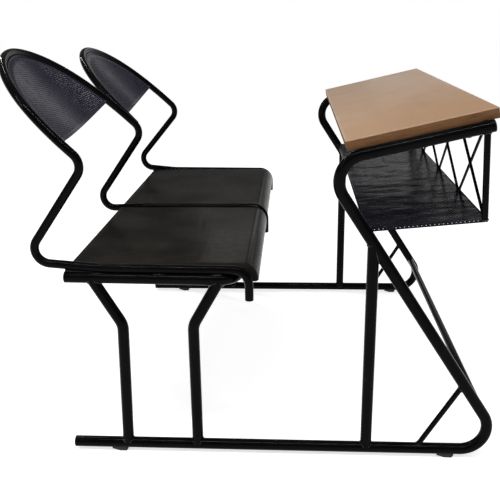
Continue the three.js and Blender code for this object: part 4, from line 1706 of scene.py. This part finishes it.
@dataclass(frozen=True)
class Seat:
    """A pressed seat with a rounded front and a flange down each side."""

    side: Side
    rear_x: float = -361.0
    front_x: float = 50.0
    nose_r: float = 37.0
    nose_drop: float = 38.0
    flange: float = 13.5
    roll_in: float = 15.0
    roll_drop: float = 7.5
    cheek: float = 35.5
    above_tube: float = -0.6
    sheet: float = 1.5
    sag: float = 1.1
    sag_power: float = 0.8
    bite: float = 0.25
    flat_steps: int = 24
    bend_steps: int = 14
    lip_steps: int = 3
    roll_steps: int = 7
    ease: float = 0.35
    ease_above: float = 60.0

    @property
    def edges(self) -> tuple[float, float]:
        """The seat's two sides across the desk, which close against the tubes."""
        clear = LAYOUT.chair_d / 2 - self.bite
        inner, outer = clear, LAYOUT.side_y - clear
        return (-outer, -inner) if self.side is Side.RIGHT else (inner, outer)

    @property
    def top_z(self) -> float:
        """The height of the flat top."""
        return LAYOUT.run_z + LAYOUT.chair_d / 2 + self.above_tube

    def profile(self) -> list[tuple[Vector, Vector, float]]:
        """Places along the side view, each with the way into the bend and the flange's depth."""
        centre = Vector((self.front_x - self.nose_r, 0, self.top_z - self.nose_r))
        down, back = Vector((0, 0, -1)), Vector((-1, 0, 0))
        span = centre.x - self.rear_x
        flat = [self.rear_x + span * i / self.flat_steps for i in range(self.flat_steps)]
        rows = [(Vector((x, 0, self.top_z)), down, self.flange) for x in flat]
        for i in range(self.bend_steps + 1):
            angle = math.pi / 2 * i / self.bend_steps
            out = Vector((math.sin(angle), 0, math.cos(angle)))
            depth = self.flange + (self.cheek - self.flange) * i / self.bend_steps
            rows.append((centre + out * self.nose_r, -out, depth))
        low = self.top_z - self.nose_drop
        for i in range(1, self.lip_steps + 1):
            z = centre.z + (low - centre.z) * i / self.lip_steps
            rows.append((Vector((self.front_x, 0, z)), back, self.cheek))
        return rows

    def columns(self) -> list[tuple[float, float, float]]:
        """Places across the seat, each with its drop round the roll and its flange share."""
        low, high = self.edges
        half = [(0.0, self.roll_drop, 1.0), (0.0, self.roll_drop, 0.5)]
        for i in range(self.roll_steps + 1):
            angle = math.pi / 2 * i / self.roll_steps
            set_in, drop = 1 - math.cos(angle), 1 - math.sin(angle)
            half.append((self.roll_in * set_in, self.roll_drop * drop, 0.0))
        steps = self.flat_steps
        span = high - low - 2 * self.roll_in
        flat = [low + self.roll_in + span * i / steps for i in range(1, steps)]
        right = [(low + set_in, drop, share) for set_in, drop, share in half]
        left = [(high - set_in, drop, share) for set_in, drop, share in reversed(half)]
        return [*right, *((y, 0.0, 0.0) for y in flat), *left]

    def hollow(self, x: float, y: float) -> float:
        """How far the pressed top sags between its edges."""
        low, high = self.edges
        across = (y - low) / (high - low)
        along = min(max((x - self.rear_x) / (self.front_x - self.nose_r - self.rear_x), 0.0), 1.0)
        sides, ends = (math.sin(math.pi * share) ** self.sag_power for share in (across, along))
        return self.sag * sides * ends

    def build(self) -> None:
        """Bends the sheet, gives it its wall and rounds its cut edges."""
        rows, columns = self.profile(), self.columns()
        last_row, last_column = len(rows) - 1, len(columns) - 1

        def where(u: float, v: float) -> Vector:
            """A point of the bent sheet."""
            spot, inward, depth = rows[round(v * last_row)]
            y, drop, share = columns[round(u * last_column)]
            sunk = drop + share * (depth - self.roll_drop)
            if drop == 0:
                sunk += self.hollow(spot.x, y)
            return to_frame(Vector((spot.x, y, spot.z)) + inward * sunk)

        piece = Bench.grid(last_column, last_row, where)
        Bench.face(piece, UP)
        Bench.thicken(piece, self.sheet, -1.0)
        Bench.round_edges(piece, self.ease, self.ease_above)
        Bench.smooth(piece, ROLLED_EDGE)
        node = f"{self.side.word}_seat"
        name = f"{node}_pressed"
        Dressing(name, SEAT_PAINT, Slot.SHEET, (node,), CUT_EDGE_HIGHLIGHT_PAINT).put_on(piece)


@dataclass(frozen=True)
class DeskBoard:
    """The board: a dark core, a brown laminate face and the screws that hold it."""

    length: float = 1016.0
    depth: float = 306.5
    ease: float = 1.2
    face_thick: float = 1.3
    face_ease: float = 0.9
    sink: float = 1.6
    core_inset: float = 0.15
    core_lap: float = 0.05
    screw_xs: tuple = (300.0, 385.0, 470.0)
    screw_sink: float = 0.5
    screw_r: float = 4.2
    head_height: float = 2.4
    head_ease: float = 0.9
    recess_in: float = 1.7
    recess_deep: float = 1.1

    def build_board(self) -> None:
        """Makes the core and the face as two eased blocks."""
        low_z = LAYOUT.frame_d / 2 + LAYOUT.gap
        high_z = low_z + LAYOUT.board_thick
        seam_z = high_z - self.face_thick
        half, inset = self.length / 2, self.core_inset
        matrix = LAYOUT.board_matrix()
        core = Bench.block(
            Vector((inset, -half + inset, low_z - self.sink)),
            Vector((self.depth - inset, half - inset, seam_z + self.core_lap)),
            self.ease,
            matrix,
        )
        Bench.smooth(core, SHEET_EDGE)
        Dressing("board_core", BOARD_CORE, Slot.BOARD).put_on(core)
        low = Vector((0, -half, seam_z - self.face_ease))
        face = Bench.block(low, Vector((self.depth, half, high_z)), self.face_ease, matrix)
        Bench.smooth(face, SHEET_EDGE)
        Dressing("board_face", BOARD_FACE, Slot.BOARD, ("desk_board",)).put_on(face)

    def build_screws(self) -> None:
        """Makes one pan head, copies it, and sets three under each rail."""
        spots = []
        for side in Side:
            spots += LAYOUT.at(
                side.value * LAYOUT.side_y, *((x, LAYOUT.rail_z(x)) for x in self.screw_xs)
            )
        down = Vector((math.sin(LAYOUT.top_slope), 0, -math.cos(LAYOUT.top_slope)))
        head = self.pan_head()
        heads = [head, *(self.copy(head) for _ in spots[1:])]
        for i, (piece, spot) in enumerate(zip(heads, spots)):
            place = to_frame(spot + down * (LAYOUT.frame_d / 2 - self.screw_sink))
            piece.data.transform(Matrix.Translation(place) @ turned_to(down))
            Dressing(f"board_screw_{i + 1}", SCREW_STEEL, Slot.BOARD).put_on(piece)

    def copy(self, piece: bpy.types.Object) -> bpy.types.Object:
        """A copy of a piece with a mesh of its own."""
        twin = piece.copy()
        twin.data = piece.data.copy()
        bpy.context.scene.collection.objects.link(twin)
        return twin

    def pan_head(self) -> bpy.types.Object:
        """One pan head with a round recess, looking up at the origin."""
        Bench.clear()
        size = {"radius": self.screw_r * MM, "depth": self.head_height * MM}
        bpy.ops.mesh.primitive_cylinder_add(vertices=24, **size, location=(0, 0, 0))
        piece = bpy.context.object
        Bench.pick_faces(piece, lambda face: face.normal.z > CAP_UP)
        with Bench.editing(everything=False):
            bpy.ops.mesh.bevel(offset=self.head_ease * MM, segments=3, affect="EDGES")
        Bench.pick_faces(piece, lambda face: face.normal.z > FLAT_UP)
        sunk = {"value": (0, 0, -self.recess_deep * MM)}
        with Bench.editing(everything=False):
            bpy.ops.mesh.inset(thickness=self.recess_in * MM)
            bpy.ops.mesh.extrude_region_move(TRANSFORM_OT_translate=sunk)
            bpy.ops.mesh.select_mode(type="VERT")
        Bench.smooth(piece, SHEET_EDGE)
        return piece

    def build(self) -> None:
        """Builds the board and its screws."""
        self.build_board()
        self.build_screws()


@dataclass(frozen=True)
class BookShelf:
    """The perforated shelf, with strips at front and rear and ends that are rolled down.

    The waves pressed in it are given by their lengths across and along, and by their share.
    """

    length: float = 250.0
    half_width: float = 513.0
    hem: float = 5.0
    hem_ease: float = 0.9
    hem_share: float = 0.7
    sheet: float = 1.3
    sink: float = 0.15
    hem_thick: float = 3.2
    wave: float = 1.0
    wave_shift: float = 1.6
    long_wave: tuple = (21.0, 47.0, 1.3)
    short_wave: tuple = (9.5, 30.0, 0.35)
    calm_powers: tuple = (0.6, 1.3)
    holes: Perforation = Perforation(6.2, 2.3)
    roll_r: float = 2.6
    roll_lip: float = 2.4
    end_flat: float = 2.4
    end_row: float = 1.5
    end_inset: float = 1.0
    end_holes: Perforation = Perforation(8.8, 1.6)
    weld_y: float = 498.5
    weld_shares: tuple = (0.4, 1.5)
    weld_lift: float = 0.4
    weld: tuple = (14.0, 2.4)

    def dip(self, x: float, y: float) -> float:
        """The shallow waves that pressing left in the sheet, none of them at its edges."""
        along = min(max(x / self.length, 0.0), 1.0)
        across = min(max((y / self.half_width + 1) / 2, 0.0), 1.0)
        power_along, power_across = self.calm_powers
        calm = math.sin(math.pi * along**power_along) * math.sin(math.pi * across**power_across)
        long_y, long_x, sway = self.long_wave
        short_y, short_x, share = self.short_wave
        wave = math.sin(y / long_y + sway * math.sin(x / long_x))
        wave += share * math.sin(y / short_y + x / short_x)
        return self.wave * max(calm, 0.0) * (wave - self.wave_shift) / 2

    def build_half(self, side: Side) -> None:
        """Makes one half of the perforated sheet, cut flush in the middle.

        Args:
            side: The half to make.
        """
        inner = self.half_width - self.roll_r - self.end_flat
        edge, left = self.hem * self.hem_share, side is Side.LEFT
        low = Vector((edge, 0 if left else -inner, 0))
        high = Vector((self.length - edge, inner if left else 0, 0))
        piece = self.holes.flat(low, high)
        Bench.trim(piece, low, high)
        matrix = LAYOUT.shelf_matrix()
        bent(piece, lambda x, y: matrix @ Vector((x, y, self.dip(x, y) - self.sink)))
        Bench.face(piece, UP)
        Bench.thicken(piece, self.sheet, -1.0)
        Bench.smooth(piece, SHEET_EDGE)
        nodes = ("book_shelf",) if side is Side.RIGHT else ()
        name = f"{side.word}_shelf_sheet"
        Dressing(name, SHELF_PAINT, Slot.SHEET, nodes, CUT_EDGE_HIGHLIGHT_PAINT).put_on(piece)

    def rolled(self, side: Side, x: float, along: float) -> Vector:
        """A point of a rolled end, in the shelf's own millimetres.

        Args:
            side: The end.
            x: How far forward the point is.
            along: How far past the start of the roll it is, along the sheet.

        Returns:
            The point.
        """
        turn = min(max(along / self.roll_r, 0.0), math.pi / 2)
        lip = max(along - self.roll_r * math.pi / 2, 0.0)
        out = self.half_width - self.roll_r * (1 - math.sin(turn)) + min(along, 0.0)
        drop = self.roll_r * (1 - math.cos(turn)) + lip
        return Vector((x, side.value * out, -drop - self.sink))

    def build_end(self, side: Side) -> None:
        """Rolls one end of the sheet down, with a row of open holes along the roll.

        Args:
            side: The end to make.
        """
        reach = self.roll_r * math.pi / 2 + self.roll_lip
        row = self.end_holes.pitch * math.sqrt(3) / 2
        high = Vector((self.length - self.end_inset, reach, 0))
        piece = self.end_holes.flat(Vector((self.end_inset, self.end_row - row, 0)), high)
        Bench.trim(piece, Vector((self.end_inset, -self.end_flat, 0)), high)
        Bench.hold(piece)
        with Bench.editing():
            bpy.ops.mesh.subdivide(number_cuts=1)
        matrix = LAYOUT.shelf_matrix()
        bent(piece, lambda x, y: matrix @ self.rolled(side, x, y))
        Bench.face(piece, Vector((0, side.value, 1)))
        Bench.thicken(piece, self.sheet, -1.0)
        Bench.smooth(piece, SHEET_EDGE)
        name = f"shelf_{side.word}_hem"
        Dressing(name, SHELF_PAINT, Slot.SHEET, (), CUT_EDGE_HIGHLIGHT_PAINT).put_on(piece)

    def build_hems(self) -> None:
        """Lays the front and rear edges as flat eased strips."""
        w, l, t = self.half_width, self.length, self.hem_thick
        strips = {
            "rear": (Vector((0, -w, -t)), Vector((self.hem, w, 0))),
            "front": (Vector((l - self.hem, -w, -t)), Vector((l, w, 0))),
        }
        for name, (low, high) in strips.items():
            piece = Bench.block(low, high, self.hem_ease, LAYOUT.shelf_matrix())
            Bench.smooth(piece, SHEET_EDGE)
            Dressing(f"shelf_{name}_hem", SHELF_PAINT, Slot.SHEET).put_on(piece)

    def build_welds(self) -> None:
        """Lays the beads where the shelf's rear corners meet the diagonals."""
        beads = []
        for side in Side:
            for share in self.weld_shares:
                x = LAYOUT.shelf_rear_x + self.hem * share
                z = LAYOUT.shelf_z(x) + self.weld_lift
                spot = Vector((x, side.value * self.weld_y, z))
                beads.append(stitch(spot, Vector((1, 0, 0)), *self.weld))
        Welds("shelf_welds", beads).build()

    def build(self) -> None:
        """Builds the shelf."""
        for side in Side:
            self.build_half(side)
            self.build_end(side)
        self.build_hems()
        self.build_welds()


@dataclass(frozen=True)
class ShelfFront:
    """The posts and crossed rods that hang the shelf from the desk."""

    setback: float = 4.5
    foot_layer: float = 1.6
    head_layer: float = 5.2
    pitch: float = 250.0
    run: float = 236.0
    rod_ring: int = 6
    rod_bead: float = 1.3
    post_head_bead: float = 1.8
    post_foot_bead: float = 1.7
    feet: tuple = ((-2, 1), (-1, -1), (-1, 1), (0, -1), (0, 1), (1, -1), (1, 1), (2, -1))

    def rod(self, place: int, lean: int) -> Bar:
        """One crossed rod.

        Args:
            place: The number of its foot, counted from the middle.
            lean: 1 where it leans left as it rises, and -1 where it leans right.

        Returns:
            The rod from its foot to its head.
        """
        foot_x = LAYOUT.shelf_front_x - self.setback
        cross = LAYOUT.front_cross()
        y = place * self.pitch
        foot = Vector((foot_x - lean * self.foot_layer, y, LAYOUT.shelf_z(foot_x)))
        head_x = cross.start.x - lean * self.head_layer
        head = Vector((head_x, y + lean * self.run, cross.start.z))
        return Bar(foot, head, LAYOUT.lattice_d / 2)

    def build(self) -> None:
        """Draws the rods and posts with their beads."""
        cross = LAYOUT.front_cross()
        up = Vector((-math.sin(LAYOUT.shelf_slope), 0, math.cos(LAYOUT.shelf_slope)))
        beads = []
        for i, (place, lean) in enumerate(self.feet):
            bar = self.rod(place, lean)
            ends = [bar.start, bar.end]
            Tubing(f"lattice_rod_{i + 1}", ends, LAYOUT.lattice_d, self.rod_ring).build()
            beads.append(seam(cross, bar, self.rod_bead))
            beads.append(foot_seam(Bar(bar.end, bar.start, bar.radius), up, self.rod_bead))
        for side in Side:
            y = side.value * LAYOUT.side_y
            post = LAYOUT.shelf_post(y)
            line = [post.start, post.end]
            Tubing(f"{side.word}_shelf_post", line, LAYOUT.post_d).build()
            beads.append(seam(LAYOUT.desk_rail(y), post, self.post_head_bead))
            foot = Bar(post.end, post.start, post.radius)
            beads.append(foot_seam(foot, up, self.post_foot_bead))
        Welds("shelf_front_welds", beads).build()


# Studio


@dataclass(frozen=True)
class Lamp:
    """A soft rectangular lamp that looks at a place."""

    name: str
    at: tuple
    towards: tuple
    size: tuple
    power: float
    colour: tuple = (1.0, 1.0, 1.0)

    def build(self) -> None:
        """Sets up the lamp."""
        data = bpy.data.lights.new(self.name, "AREA")
        data.shape = "RECTANGLE"
        data.size, data.size_y = self.size
        data.energy = self.power
        data.color = self.colour
        lamp = bpy.data.objects.new(self.name, data)
        bpy.context.scene.collection.objects.link(lamp)
        look = Vector(self.towards) - Vector(self.at)
        lamp.location = self.at
        lamp.rotation_euler = look.to_track_quat("-Z", "Y").to_euler()


@dataclass(frozen=True)
class Studio:
    """Floor, pale surroundings, lamps and the camera of the photograph."""

    camera_at: tuple = (0.10962, -1.95599, 0.97415)
    camera_right: tuple = (0.99809872, 0.05974556, -0.0151462)
    camera_up: tuple = (-0.00440708, 0.31428718, 0.94931773)
    camera_back: tuple = (0.06147777, -0.94744606, 0.31395294)
    focal_px: float = 718.004
    image_px: float = 500.0
    sensor: float = 36.0
    ambient: float = 0.42
    dome: float = 0.14
    dome_from: float = 0.02
    dome_to: float = 0.12
    floor_size: float = 60.0
    floor_glow: float = 0.66
    floor_dark: tuple = (0.80, 0.80, 0.80, 1.0)
    floor_light: tuple = (0.83, 0.83, 0.83, 1.0)
    lamps: tuple = (
        Lamp("key_lamp", (0.0, -1.5, 2.9), (0.05, 0.0, 0.5), (2.2, 0.04), 42.0),
        Lamp("fill_lamp", (-1.9, -1.3, 2.0), (-0.1, 0.0, 0.5), (0.04, 1.2), 10.0),
        Lamp("strip_lamp", (-1.3, 1.0, 2.3), (-0.1, 0.0, 0.6), (0.04, 1.5), 14.0),
        Lamp("board_window", (1.2, 3.2, 1.35), (0.2, 0.0, 0.7), (1.6, 0.45), 3.3),
        Lamp("back_window", (-0.15, 3.2, 1.78), (-0.4, 0.0, 0.75), (0.9, 0.65), 1.8),
    )

    def build_camera(self) -> None:
        """Sets the camera where the photograph was taken."""
        data = bpy.data.cameras.new("photo_camera")
        data.sensor_width = self.sensor
        data.lens = self.focal_px * self.sensor / self.image_px
        camera = bpy.data.objects.new("photo_camera", data)
        bpy.context.scene.collection.objects.link(camera)
        axes = (self.camera_right, self.camera_up, self.camera_back)
        turn = Matrix(axes).transposed().to_4x4()
        camera.matrix_world = Matrix.Translation(self.camera_at) @ turn
        bpy.context.scene.camera = camera

    def build_floor(self) -> None:
        """Lays a pale floor that shows as white and keeps the object's shadow."""
        Bench.clear()
        bpy.ops.mesh.primitive_plane_add(size=self.floor_size, location=(0, 0, 0))
        floor = bpy.context.object
        floor.name = "studio_floor"
        n = Nodes("floor_paper")
        tone = n.blend(n.noise(3.0), self.floor_dark, self.floor_light)
        material = n.wear(Base_Color=tone, Roughness=0.9, Specular_IOR_Level=0.1)
        seen = n.add("ShaderNodeLightPath").outputs
        shown = n.math("MAXIMUM", seen["Is Camera Ray"], seen["Is Glossy Ray"])
        shown = n.math("MAXIMUM", shown, seen["Is Transmission Ray"])
        strength = n.math("MULTIPLY", shown, self.floor_glow)
        glow = n.add("ShaderNodeEmission", {"Color": WHITE, "Strength": strength})
        both = n.add("ShaderNodeAddShader", {0: n.shader.outputs[0], 1: glow.outputs[0]})
        n.tree.links.new(both.outputs[0], n.tree.nodes["Material Output"].inputs["Surface"])
        floor.data.materials.append(material)

    def build_world(self) -> None:
        """Makes the surroundings white to look at, and dimmer as a light."""
        world = bpy.data.worlds.new("studio")
        bpy.context.scene.world = world
        world.use_nodes = True
        t = Tree(world.node_tree)
        soft = t.tree.nodes["Background"]
        soft.inputs["Color"].default_value = WHITE
        soft.inputs["Strength"].default_value = self.ambient
        white = t.add("ShaderNodeBackground", {"Color": WHITE, "Strength": 1.0})
        direction = t.add("ShaderNodeTexCoord").outputs["Generated"]
        height = t.add("ShaderNodeSeparateXYZ", {0: direction}).outputs[2]
        ramp = t.add("ShaderNodeValToRGB", {0: height})
        low, high = ramp.color_ramp.elements
        low.position, low.color = self.dome_from, WHITE
        high.position, high.color = self.dome_to, (self.dome, self.dome, self.dome, 1)
        mirrored = t.add("ShaderNodeBackground", {"Color": ramp.outputs[0], "Strength": 1.0})
        path = t.add("ShaderNodeLightPath").outputs
        either = t.math("MAXIMUM", path["Is Glossy Ray"], path["Is Transmission Ray"])
        sides = {1: soft.outputs[0], 2: mirrored.outputs[0]}
        by_gloss = t.add("ShaderNodeMixShader", {0: either, **sides})
        sides = {1: by_gloss.outputs[0], 2: white.outputs[0]}
        by_view = t.add("ShaderNodeMixShader", {0: path["Is Camera Ray"], **sides})
        surface = t.tree.nodes["World Output"].inputs["Surface"]
        t.tree.links.new(by_view.outputs[0], surface)

    def build(self) -> None:
        """Builds the studio."""
        bpy.context.scene.view_settings.view_transform = "Standard"
        self.build_camera()
        self.build_floor()
        self.build_world()
        for lamp in self.lamps:
            lamp.build()


def write_sizes() -> None:
    """Brings the view layer up to date.
    """
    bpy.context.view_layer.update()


def main() -> None:
    """Builds every sub-assembly round the CAD frame, then the studio."""
    logging.basicConfig(level=logging.INFO, format="%(name)s: %(message)s")
    assemblies = [
        *(SideFrame(side) for side in Side),
        CrossMembers(),
        ChairTubes(),
        *(BackPanel(side) for side in Side),
        *(Seat(side) for side in Side),
        DeskBoard(),
        BookShelf(),
        ShelfFront(),
        Studio(),
    ]
    for assembly in assemblies:
        assembly.build()
        log.info("%s is done", type(assembly).__name__)
    Bench.clear()
    write_sizes()


if __name__ == "__main__":
    main()
